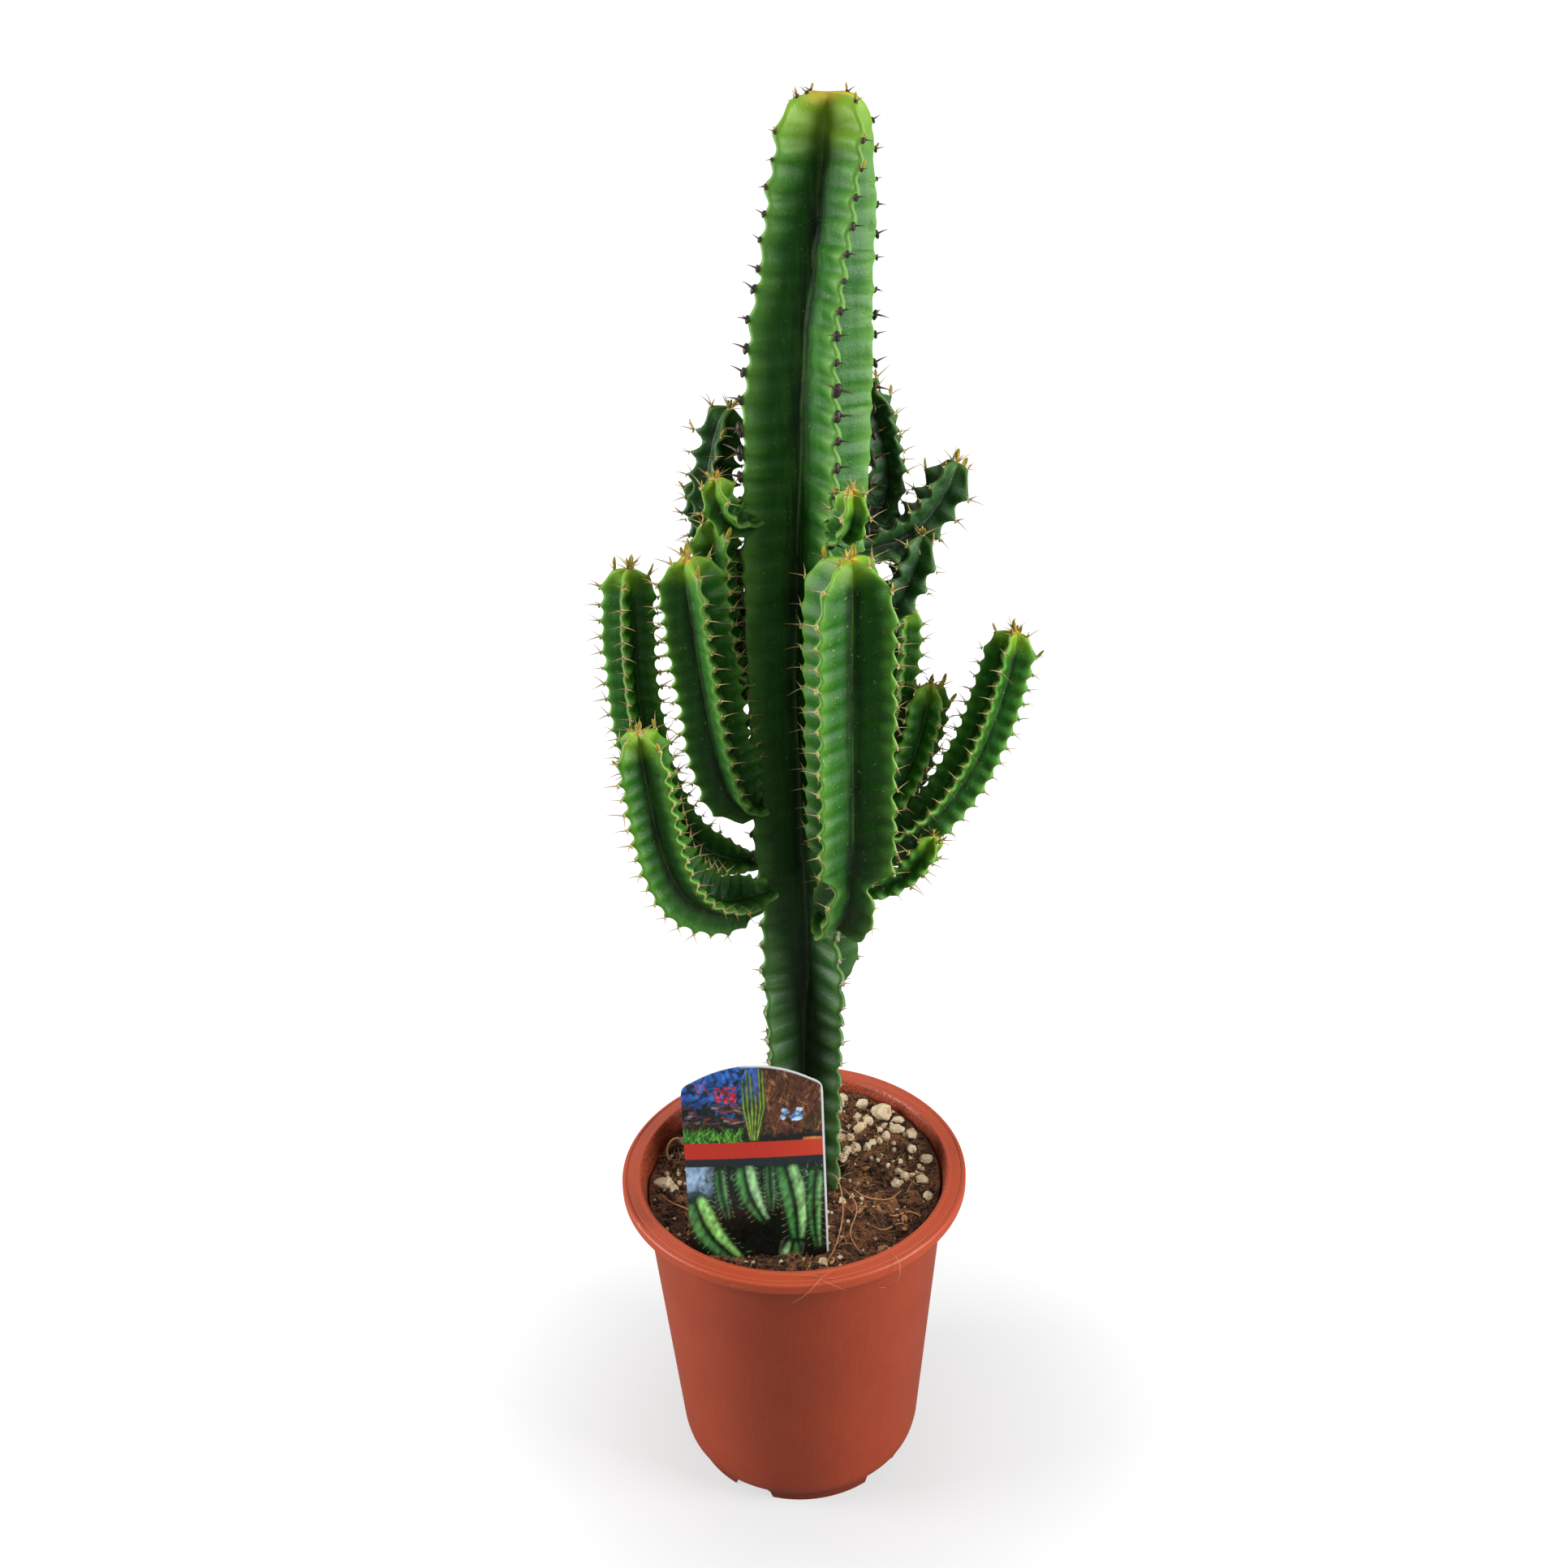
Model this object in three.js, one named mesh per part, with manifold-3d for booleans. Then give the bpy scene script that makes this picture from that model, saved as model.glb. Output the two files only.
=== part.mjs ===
// A potted columnar euphorbia: a tall four-ribbed main stem with sixteen four-ribbed arms, growing in
// peat in a round nursery pot, with pumice stones on the soil and a plant label at the front.
// Millimetres, +Z up, the front faces -Y. The origin is at the bottom centre of the whole plant's box.
import * as THREE from "three";
import { mergeVertices } from "three/addons/utils/BufferGeometryUtils.js";
import Module from "manifold-3d";

// ---------------------------------------------------------------- driving dimensions
const GAP = 0.3; // clearance between pieces that touch

const POT = {
  height: 168,
  rimRadius: 85, // outside of the rim lip
  lipHeight: 6,
  bodyTopRadius: 75.4, // outside of the wall just under the lip
  bodyBottomRadius: 61.8, // outside of the wall where the bottom corner starts
  cornerHeight: 14,
  footRadius: 56.4,
  footHeight: 8,
  wall: 1.5,
  feet: 5,
  notchWidth: 22,
  notchDepth: 6.5,
  firstNotch: -45, // compass angle of one notch, degrees
  drainRadius: 5,
  drainCircle: 40,
};

const SOIL = { level: 156.5, rise: 7, riseFrom: -40, riseTo: 90, lump: 0.8, rings: 6, sectors: 48 };

const STEM = {
  foot: 60, // height at which the main stem ends inside the soil
  top: 662,
  y: 5,
  toothPitch: 12.5,
  toothDepth: 0.055,
  ribThickness: 5.2,
  valley: 0.23, // depth of the valleys as a share of the rib radius
};

const CROWN = { length: 12, closing: 0.8, power: 3 };

// The main stem wanders and twists a little: its height, the X of its axis, the compass angle of the
// rib that faces front right, and its rib radius.
const STEM_SHAPE = [
  [60, 6, -43, 16],
  [158, 6, -43, 22.5],
  [227, 6.2, -43, 24],
  [256, 7, -45, 25.6],
  [283, 11, -59, 28],
  [305, 11.5, -64, 26.5],
  [360, 10.5, -67, 27.5],
  [425, 9.5, -69, 26.5],
  [480, 12, -69, 29.2],
  [540, 14.8, -68, 30],
  [575, 17, -71, 27.6],
  [600, 20, -68, 25.6],
  [625, 22, -62, 25.3],
  [642, 23.4, -56, 24.3],
  [662, 24.6, -52, 22],
];

// The arms. plane: compass angle of the upright plane that the arm grows in. root: height where it
// leaves the main stem. sweep, elbow and tip are [distance from the arms' centre line, height], where
// sweep gives only the distance because the arm starts out level. radius: rib radius. turn: angle of
// the first rib from the plane. waist: where along the arm an older joint draws it in.
const ARMS = [
  {
    name: "arm_left_outer", plane: -170, root: 340, sweep: 62, elbow: [78, 400],
    tip: [70, 483], radius: 12.8, turn: -17,
  },
  {
    name: "arm_left_tall", plane: -150, root: 371, sweep: 42, elbow: [43, 432],
    tip: [51, 491], radius: 16.5, turn: -10,
  },
  {
    name: "arm_left_low", plane: -140, root: 329, sweep: 80, elbow: [78, 372],
    tip: [86, 428], radius: 15.5, turn: 5,
  },
  {
    name: "arm_left_short", plane: -163, root: 428, sweep: 34, elbow: [37, 458],
    tip: [34, 502], radius: 12.5, turn: 12,
  },
  {
    name: "arm_back_left_tall", plane: 168, root: 448, sweep: 34, elbow: [45, 505],
    tip: [27, 544], radius: 11.5, turn: 12,
  },
  {
    name: "arm_back_left_short", plane: 150, root: 470, sweep: 40, elbow: [48, 484],
    tip: [50, 509], radius: 9.5, turn: 30,
  },
  {
    name: "arm_left_bud", plane: -156, root: 500, sweep: 36, elbow: [38, 504],
    tip: [40, 521], radius: 9, turn: 0,
  },
  {
    name: "arm_front_right", plane: -68, root: 322, sweep: 66, elbow: [46, 400],
    tip: [55, 497], radius: 23.5, turn: 32, waist: 46,
  },
  {
    name: "arm_front_bud", plane: -66, root: 500, sweep: 38, elbow: [41, 506],
    tip: [42, 521], radius: 9, turn: 40,
  },
  {
    name: "arm_right_inner", plane: 34, root: 366, sweep: 50, elbow: [60, 405],
    tip: [57, 448], radius: 9.5, turn: 51,
  },
  {
    name: "arm_right_middle", plane: 24, root: 348, sweep: 48, elbow: [62, 375],
    tip: [66, 411], radius: 12, turn: 1,
  },
  {
    name: "arm_right_outer", plane: 10, root: 338, sweep: 64, elbow: [86, 380],
    tip: [97, 439], radius: 13, turn: -32,
  },
  {
    name: "arm_right_low", plane: 3, root: 319, sweep: 40, elbow: [52, 326],
    tip: [60, 346], radius: 9, turn: 20,
  },
  {
    name: "arm_back_right_top", plane: 45, root: 484, sweep: 60, elbow: [58, 505],
    tip: [38, 547], radius: 12.5, turn: 0,
  },
  {
    name: "arm_back_right_long", plane: 24, root: 480, sweep: 50, elbow: [60, 486],
    tip: [73, 512], radius: 13.5, turn: 30,
  },
  {
    name: "arm_back_right_short", plane: 15, root: 447, sweep: 38, elbow: [50, 458],
    tip: [55, 485], radius: 12.5, turn: 30,
  },
];

const ARM = {
  centreX: 8.5, // X of the upright line that the arms' distances are measured from
  bendHeight: 430, // above this height the line leans to the right
  lean: 0.07,
  start: 21, // distance from that line where an arm's neck starts
  neck: 0.5, // neck radius as a share of the arm's radius
  neckLength: 20,
  kneeShare: 0.68, // rib radius below the waist, as a share of the arm's radius
  kneeLength: 14,
  waistDepth: 0.32, // how far an arm is drawn in where a new year's growth starts
  waistLength: 6,
  valley: 0.26,
  ribThickness: 3,
  step: 13, // spacing of the sections along an arm
  waistStep: 5, // the same on an arm with a waist
};

const LABEL = {
  width: 65,
  shoulder: 97, // height of the straight sides above the card's lower edge
  arch: 10,
  thickness: 0.8,
  stakeWidth: 14,
  stakeLength: 45,
  lowerEdge: 150, // height of the card's lower edge
  x: -17,
  y: -51.2,
  leanBack: 7,
  leanLeft: 0.7,
};

// Pumice stones: compass angle, distance from the pot's axis, size.
const STONES = [
  [44, 64.5, 12],
  [31, 62, 8],
  [25, 67, 7],
  [56, 65.5, 8],
  [36, 68, 6],
  [66, 66, 7],
  [15, 62, 6],
  [52, 56, 6],
  [8, 67.5, 7],
  [-6, 64, 6],
  [-15, 67.5, 6],
  [43, 41, 5],
  [31, 47, 5],
  [1, 52, 5],
  [-37, 29, 5],
  [-78, 59, 5],
  [178, 65, 10],
  [148, 66.5, 7],
];

// ---------------------------------------------------------------- helpers
const wasm = await Module();
wasm.setup();

const radians = THREE.MathUtils.degToRad;
const polar = (angle, radius, z) =>
  new THREE.Vector3(radius * Math.cos(radians(angle)), radius * Math.sin(radians(angle)), z);

function toSolid(geometry) {
  const bare = geometry.clone();
  bare.deleteAttribute("normal");
  bare.deleteAttribute("uv");
  const merged = mergeVertices(bare, 1e-4);
  return new wasm.Manifold(
    new wasm.Mesh({
      numProp: 3,
      vertProperties: new Float32Array(merged.attributes.position.array),
      triVerts: new Uint32Array(merged.index.array),
    }),
  );
}

function toGeometry(solid) {
  const mesh = solid.getMesh();
  const geometry = new THREE.BufferGeometry();
  geometry.setAttribute("position", new THREE.BufferAttribute(new Float32Array(mesh.vertProperties), 3));
  geometry.setIndex(new THREE.BufferAttribute(new Uint32Array(mesh.triVerts), 1));
  geometry.computeVertexNormals();
  return geometry;
}

// The largest body of a cut solid: slivers left beside a cut are dropped.
function largestBody(solid) {
  const bodies = solid.decompose();
  return bodies.reduce((best, body) => (body.volume() > best.volume() ? body : best));
}

function smoothStep(low, high, x) {
  const t = THREE.MathUtils.clamp((x - low) / (high - low), 0, 1);
  return t * t * (3 - 2 * t);
}

// Value in one column of a table at x, on a smooth line through its rows, which start with their own x.
function through(rows, column, x) {
  const last = rows.length - 1;
  if (x <= rows[0][0]) return rows[0][column];
  if (x >= rows[last][0]) return rows[last][column];
  const i = rows.findIndex((row) => row[0] > x) - 1;
  const [low, high] = [rows[i], rows[i + 1]];
  return THREE.MathUtils.lerp(low[column], high[column], smoothStep(low[0], high[0], x));
}

// A closed geometry through rings of points, all with the same count, with a fan at each end.
function loft(rings) {
  const count = rings[0].length;
  const points = rings.flat();
  const faces = [];
  for (let r = 0; r + 1 < rings.length; r++) {
    for (let i = 0; i < count; i++) {
      const a = r * count + i;
      const b = r * count + ((i + 1) % count);
      faces.push(a, b, b + count, a, b + count, a + count);
    }
  }
  const centreOf = (ring) =>
    ring.reduce((sum, point) => sum.add(point), new THREE.Vector3()).divideScalar(count);
  const first = points.push(centreOf(rings[0])) - 1;
  const end = points.push(centreOf(rings[rings.length - 1])) - 1;
  const lastRing = (rings.length - 1) * count;
  for (let i = 0; i < count; i++) {
    const next = (i + 1) % count;
    faces.push(first, next, i, end, lastRing + i, lastRing + next);
  }
  const geometry = new THREE.BufferGeometry().setFromPoints(points);
  geometry.setIndex(faces);
  return geometry;
}

// One cross-section of a stem: four ribs with blunt crests and a sharp valley between each two.
// side and back are the section's two axes.
function ribbedSection({ centre, side, back, radius, valley, thickness, turn }) {
  const ring = [];
  const put = (angle, along, across) => {
    const c = Math.cos(angle);
    const s = Math.sin(angle);
    const u = along * c - across * s;
    const v = along * s + across * c;
    ring.push(centre.clone().addScaledVector(side, u).addScaledVector(back, v));
  };
  for (let rib = 0; rib < 4; rib++) {
    const angle = radians(turn + 90 * rib);
    const half = thickness * 0.35; // the crest is blunt, and a little narrower than the rib
    put(angle, radius, -half);
    put(angle, radius, half);
    put(angle + Math.PI / 4, valley, 0);
  }
  return ring;
}

// ---------------------------------------------------------------- main stem
const stemAxis = (z) => new THREE.Vector3(through(STEM_SHAPE, 1, z), STEM.y, z);

// The crown closes over the last stretch below the top: the crests turn in only near the very top.
function stemRadius(z) {
  const crown = THREE.MathUtils.clamp((z - STEM.top + CROWN.length) / CROWN.length, 0, 1);
  return through(STEM_SHAPE, 3, z) * Math.sqrt(1 - CROWN.closing * Math.pow(crown, CROWN.power));
}

function mainStem(grow = 0) {
  const rings = [];
  const halfTooth = STEM.toothPitch / 2;
  const steps = Math.round((STEM.top - STEM.foot) / halfTooth);
  for (let i = 0; i <= steps; i++) {
    const z = STEM.foot + ((STEM.top - STEM.foot) * i) / steps;
    const aboveSoil = z > SOIL.level + SOIL.rise;
    const tooth = aboveSoil && i % 2 === 0 ? STEM.toothDepth : 0;
    const radius = stemRadius(z) * (1 + tooth);
    rings.push(
      ribbedSection({
        centre: stemAxis(z),
        side: new THREE.Vector3(1, 0, 0),
        back: new THREE.Vector3(0, 1, 0),
        radius: radius + grow,
        valley: radius * STEM.valley + grow * 1.5,
        thickness: Math.min(STEM.ribThickness, radius) + 2 * grow,
        turn: through(STEM_SHAPE, 2, z),
      }),
    );
  }
  return loft(rings);
}

// ---------------------------------------------------------------- arms
const armCentre = (z) => ARM.centreX + ARM.lean * Math.max(0, z - ARM.bendHeight);

// The rib radius of an arm as a share of its full radius, where it has an older knee below a waist.
function waistShare(waist, run) {
  if (!waist) return 1;
  const knee = smoothStep(waist - 2, waist + ARM.kneeLength, run);
  const fromWaist = (run - waist) / ARM.waistLength;
  return THREE.MathUtils.lerp(ARM.kneeShare, 1, knee) * (1 - ARM.waistDepth * Math.exp(-(fromWaist ** 2)));
}

function arm(shape, grow = 0) {
  const out = polar(shape.plane, 1, 0);
  const across = polar(shape.plane + 90, 1, 0);
  const at = (distance, z) =>
    new THREE.Vector3(armCentre(shape.root), STEM.y, z).addScaledVector(out, distance);
  const path = new THREE.CubicBezierCurve3(
    at(ARM.start, shape.root),
    at(shape.sweep, shape.root),
    at(...shape.elbow),
    at(...shape.tip),
  );
  const length = path.getLength();
  const steps = Math.max(7, Math.round(length / (shape.waist ? ARM.waistStep : ARM.step)));
  const capLength = shape.radius * 0.8;
  const rings = [];
  for (let i = 0; i <= steps; i++) {
    // The last three sections bunch up to round the tip.
    const share = i <= steps - 3 ? (i / (steps - 3)) * (1 - capLength / length) : 0;
    const tipShare = [0.45, 0.8, 1][i - (steps - 2)];
    const s = i <= steps - 3 ? share : 1 - ((1 - tipShare) * capLength) / length;
    const centre = path.getPointAt(s);
    const tangent = path.getTangentAt(s);
    const side = new THREE.Vector3().crossVectors(across, tangent).normalize();
    const run = s * length;
    const neck = THREE.MathUtils.lerp(
      ARM.neck,
      1,
      smoothStep(0, Math.min(ARM.neckLength, length * 0.4), run),
    );
    const intoCap = Math.max(0, 1 - (length - run) / capLength);
    const cap = Math.sqrt(Math.max(0.03, 1 - Math.pow(intoCap, 2.4)));
    const radius = shape.radius * neck * cap * waistShare(shape.waist, run);
    rings.push(
      ribbedSection({
        centre,
        side,
        back: across,
        radius: radius + grow,
        valley: radius * ARM.valley + grow * 1.5,
        thickness: Math.min(ARM.ribThickness, radius) + 2 * grow,
        turn: shape.turn,
      }),
    );
  }
  return loft(rings);
}

// ---------------------------------------------------------------- pot
// The wall keeps its thickness down the taper, and the floor is held up by the foot ring.
const potInnerRadius = (z) =>
  THREE.MathUtils.lerp(
    POT.bodyBottomRadius,
    POT.bodyTopRadius,
    (z - POT.cornerHeight) / (POT.height - POT.lipHeight - POT.cornerHeight),
  ) - POT.wall;
const floorTop = POT.footHeight + POT.wall;

function notchCutter(angle) {
  const half = POT.notchWidth / 2;
  const arch = new THREE.Shape();
  arch.moveTo(-half, -1);
  arch.lineTo(half, -1);
  arch.lineTo(half * 0.86, POT.notchDepth * 0.6);
  arch.quadraticCurveTo(half * 0.7, POT.notchDepth, half * 0.4, POT.notchDepth);
  arch.lineTo(-half * 0.4, POT.notchDepth);
  arch.quadraticCurveTo(-half * 0.7, POT.notchDepth, -half * 0.86, POT.notchDepth * 0.6);
  const geometry = new THREE.ExtrudeGeometry(arch, { depth: 12, bevelEnabled: false, curveSegments: 3 });
  // The arch is drawn in X and Y: stand it up, then push it through the foot ring.
  geometry.rotateX(Math.PI / 2);
  geometry.translate(0, POT.footRadius + 5, 0);
  geometry.rotateZ(radians(angle - 90));
  return toSolid(geometry);
}

function drainCutter(angle) {
  const geometry = new THREE.CylinderGeometry(POT.drainRadius, POT.drainRadius, 12, 16);
  geometry.rotateX(Math.PI / 2);
  const place = polar(angle, POT.drainCircle, POT.footHeight);
  geometry.translate(place.x, place.y, place.z);
  return toSolid(geometry);
}

function pot() {
  const { height, rimRadius, lipHeight, wall } = POT;
  const lipBottom = height - lipHeight;
  const innerTop = potInnerRadius(lipBottom);
  const profile = [
    [0, floorTop],
    [potInnerRadius(POT.cornerHeight) - 6, floorTop],
    [potInnerRadius(POT.cornerHeight) - 2, floorTop + 2],
    [potInnerRadius(POT.cornerHeight), POT.cornerHeight],
    [innerTop, lipBottom],
    [innerTop + 1, height - 1],
    [innerTop + 2, height + 0.6],
    [innerTop + 3.4, height + 0.6],
    [innerTop + 4.2, height],
    [rimRadius - 0.8, height],
    [rimRadius, height - 0.8],
    [rimRadius, lipBottom + 0.8],
    [rimRadius - 0.8, lipBottom],
    [POT.bodyTopRadius, lipBottom],
    [POT.bodyBottomRadius, POT.cornerHeight],
    [POT.bodyBottomRadius - 1, POT.footHeight + 1.5],
    [POT.footRadius + 0.6, POT.footHeight - 1.5],
    [POT.footRadius, 0],
    [POT.footRadius - wall, 0],
    [POT.footRadius - wall, POT.footHeight],
    [0, POT.footHeight],
  ];
  const outline = profile.reverse().map(([r, z]) => new THREE.Vector2(r, z));
  const lathe = new THREE.LatheGeometry(outline, 54);
  lathe.rotateX(Math.PI / 2);
  let solid = toSolid(lathe);
  for (let i = 0; i < POT.feet; i++) {
    const angle = POT.firstNotch + (360 / POT.feet) * i;
    solid = solid.subtract(notchCutter(angle)).subtract(drainCutter(angle));
  }
  return solid;
}

// ---------------------------------------------------------------- soil and stones
// Height of the soil: heaped up towards the back right, with shallow lumps.
function soilHeight(x, y) {
  const slope = SOIL.rise * smoothStep(SOIL.riseFrom, SOIL.riseTo, 0.55 * x + 0.85 * y);
  const lumps = Math.sin(x * 0.16 + 1) * Math.cos(y * 0.19 - 0.6) + 0.6 * Math.sin(x * 0.31 - y * 0.27);
  return SOIL.level + slope + SOIL.lump * lumps;
}

function soilBlock() {
  const gapRadius = (z) => potInnerRadius(z) - GAP - 0.25;
  const bottom = floorTop + GAP;
  const ringAt = (radiusOf, heightOf) => {
    const ring = [];
    for (let i = 0; i < SOIL.sectors; i++) {
      const angle = (360 / SOIL.sectors) * i;
      const flat = polar(angle, radiusOf, 0);
      ring.push(new THREE.Vector3(flat.x, flat.y, heightOf(flat.x, flat.y)));
    }
    return ring;
  };
  const rings = [
    ringAt(gapRadius(POT.cornerHeight) - 6.5, () => bottom),
    ringAt(gapRadius(POT.cornerHeight) - 0.5, () => POT.cornerHeight),
  ];
  const edge = gapRadius(SOIL.level);
  rings.push(ringAt(edge - 0.3, soilHeight));
  for (let i = SOIL.rings - 1; i > 0; i--) rings.push(ringAt((edge * i) / SOIL.rings, soilHeight));
  return toSolid(loft(rings));
}

// An angular stone: an icosahedron with its corners pulled in and out by fixed amounts.
function stone([angle, distance, size], index, grow = 0) {
  const geometry = mergeVertices(
    new THREE.IcosahedronGeometry(1, 0).deleteAttribute("normal").deleteAttribute("uv"),
  );
  const corner = geometry.attributes.position;
  const place = polar(angle, distance, 0);
  place.z = soilHeight(place.x, place.y) + size * 0.16;
  for (let i = 0; i < corner.count; i++) {
    const p = new THREE.Vector3().fromBufferAttribute(corner, i);
    const wobble = 1 + 0.16 * Math.sin(i * 2.3 + index * 1.7) + 0.08 * Math.cos(i * 5.1 + index);
    p.multiplyScalar((size / 2) * wobble + grow);
    p.z *= 0.72;
    corner.setXYZ(i, p.x, p.y, p.z);
  }
  geometry.rotateZ(index * 1.3);
  geometry.translate(place.x, place.y, place.z);
  return toSolid(geometry);
}

// ---------------------------------------------------------------- label
function labelCard(grow = 0) {
  const half = LABEL.width / 2 + grow;
  const stake = LABEL.stakeWidth / 2 + grow;
  const outline = new THREE.Shape();
  outline.moveTo(0, -LABEL.stakeLength - grow);
  outline.lineTo(stake, -LABEL.stakeLength + 12);
  outline.lineTo(stake, -20);
  outline.quadraticCurveTo(stake + 2, -8, half, -grow);
  outline.lineTo(half, LABEL.shoulder - 4);
  outline.quadraticCurveTo(half, LABEL.shoulder, half - 5, LABEL.shoulder + 2);
  outline.quadraticCurveTo(0, LABEL.shoulder + 2 * LABEL.arch - 2, -half + 5, LABEL.shoulder + 2);
  outline.quadraticCurveTo(-half, LABEL.shoulder, -half, LABEL.shoulder - 4);
  outline.lineTo(-half, -grow);
  outline.quadraticCurveTo(-stake - 2, -8, -stake, -20);
  outline.lineTo(-stake, -LABEL.stakeLength + 12);
  const depth = LABEL.thickness + 2 * grow;
  const geometry = new THREE.ExtrudeGeometry(outline, { depth, bevelEnabled: false, curveSegments: 5 });
  geometry.translate(0, 0, -depth / 2);
  geometry.rotateX(Math.PI / 2); // stand the card up, facing -Y
  geometry.rotateY(radians(-LABEL.leanLeft));
  geometry.rotateX(radians(-LABEL.leanBack));
  geometry.translate(LABEL.x, LABEL.y, LABEL.lowerEdge);
  return toSolid(geometry);
}

// ---------------------------------------------------------------- assembly
const SKIN = { roughness: 0.5, metalness: 0 };
const MATERIALS = {
  pot: { color: 0xa04a2c, roughness: 0.45, metalness: 0 },
  soil: { color: 0x2e1f17, roughness: 1, metalness: 0 },
  stone: { color: 0xcdbb9c, roughness: 0.95, metalness: 0 },
  label: { color: 0x5d8f4a, roughness: 0.35, metalness: 0 },
  stem: { color: 0x1f5a1c, ...SKIN },
  arm: { color: 0x2c6e22, ...SKIN },
};

const plant = new THREE.Group();

function addPiece(name, solid, look) {
  const mesh = new THREE.Mesh(toGeometry(solid), new THREE.MeshStandardMaterial(MATERIALS[look]));
  mesh.name = name;
  plant.add(mesh);
}

const stem = toSolid(mainStem());
const stemRoom = toSolid(mainStem(GAP));
const label = labelCard();

let soil = soilBlock().subtract(stemRoom).subtract(labelCard(GAP));
STONES.forEach((shape, index) => {
  soil = soil.subtract(stone(shape, index, GAP));
});

// An arm gives way to the main stem and to every arm placed before it.
const armRooms = [];
const arms = ARMS.map((shape) => {
  let solid = toSolid(arm(shape)).subtract(stemRoom);
  for (const room of armRooms) solid = solid.subtract(room);
  armRooms.push(toSolid(arm(shape, GAP)));
  return { name: shape.name, solid: largestBody(solid) };
});

addPiece("pot", pot(), "pot");
addPiece("soil", largestBody(soil), "soil");
addPiece("plant_label", label, "label");
addPiece("main_stem", stem, "stem");
for (const { name, solid } of arms) addPiece(name, solid, "arm");
STONES.forEach((shape, index) => {
  addPiece(`pumice_stone_${index + 1}`, stone(shape, index), "stone");
});

// Stand the plant on the floor with the origin under the middle of its box.
const box = new THREE.Box3().setFromObject(plant);
const middle = box.getCenter(new THREE.Vector3());
plant.position.set(-middle.x, -middle.y, -box.min.z);

export default plant;
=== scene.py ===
# %% [markdown]
# # A potted euphorbia
# The plant is a tall four-ribbed stem with sixteen four-ribbed arms, in a round plastic nursery
# pot. Peat, coir and pumice fill the pot, and a picture card stands in the soil at the front. The
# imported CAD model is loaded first. Every Blender piece is made in the same frame, in metres, so
# nothing has to be fitted afterwards: the CAD says where a piece goes, and Blender adds the detail.

# %% Load the frame
import math
import bmesh
import bpy
import numpy as np
from mathutils import Matrix, Vector, noise


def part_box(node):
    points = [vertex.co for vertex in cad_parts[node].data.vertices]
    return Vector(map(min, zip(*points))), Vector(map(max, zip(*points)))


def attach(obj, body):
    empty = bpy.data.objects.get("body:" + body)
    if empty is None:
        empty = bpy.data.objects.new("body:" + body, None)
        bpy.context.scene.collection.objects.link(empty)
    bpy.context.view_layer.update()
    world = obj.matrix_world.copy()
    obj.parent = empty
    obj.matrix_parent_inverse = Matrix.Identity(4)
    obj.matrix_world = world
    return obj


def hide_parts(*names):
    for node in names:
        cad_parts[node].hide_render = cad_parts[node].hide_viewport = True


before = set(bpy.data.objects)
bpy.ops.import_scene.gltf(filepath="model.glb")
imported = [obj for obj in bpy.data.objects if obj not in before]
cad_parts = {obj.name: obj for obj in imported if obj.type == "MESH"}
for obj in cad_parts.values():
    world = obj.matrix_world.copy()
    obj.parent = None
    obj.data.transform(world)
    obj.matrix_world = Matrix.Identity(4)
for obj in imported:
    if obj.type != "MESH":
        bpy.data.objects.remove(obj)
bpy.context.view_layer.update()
MM = 0.001
TAU = 2 * math.pi
pot_low, pot_high = (Vector(corner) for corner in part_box("pot"))
POT_AXIS = Vector(((pot_low.x + pot_high.x) / 2, (pot_low.y + pot_high.y) / 2, 0))
print("nodes:", len(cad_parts), "pot axis:", [round(v, 5) for v in POT_AXIS])

# %% [markdown]
# ## Camera
# The camera looks down at the plant from the front, a little above its middle. Its direction is
# given by three angles: yaw to the side, pitch down and roll. A camera looks along its own -Z, so
# the three columns of its matrix are its right, its up and the reverse of its view.

# %% Camera
CAMERA_PLACE = POT_AXIS + Vector((0, -0.6756, 0.7071))
LENS, SENSOR = 39, 36  # millimetres
YAW, PITCH, ROLL = math.radians(0.07), math.radians(25.93), math.radians(-1.71)

view = Vector((math.sin(YAW) * math.cos(PITCH), math.cos(YAW) * math.cos(PITCH), -math.sin(PITCH)))
level_right = Vector((math.cos(YAW), -math.sin(YAW), 0))
level_up = level_right.cross(view)
right = math.cos(ROLL) * level_right + math.sin(ROLL) * level_up
up = math.cos(ROLL) * level_up - math.sin(ROLL) * level_right
camera_data = bpy.data.cameras.new("camera")
camera_data.lens, camera_data.sensor_width = LENS, SENSOR
camera = bpy.data.objects.new("camera", camera_data)
facing = Matrix((right, up, -view)).transposed().to_4x4()
camera.matrix_world = Matrix.Translation(CAMERA_PLACE) @ facing
bpy.context.scene.collection.objects.link(camera)
bpy.context.scene.camera = camera
print("camera at", [round(v, 4) for v in camera.location])

# %% [markdown]
# ## Writing formulas as nodes
# Shader trees and geometry trees both work out numbers with Math nodes, one operation each. A
# longer formula then needs a dozen nodes and as many links. The class below wraps one output of a
# node, so that ordinary arithmetic on it adds the Math nodes and joins them up: a * b + c makes two
# nodes.

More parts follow.
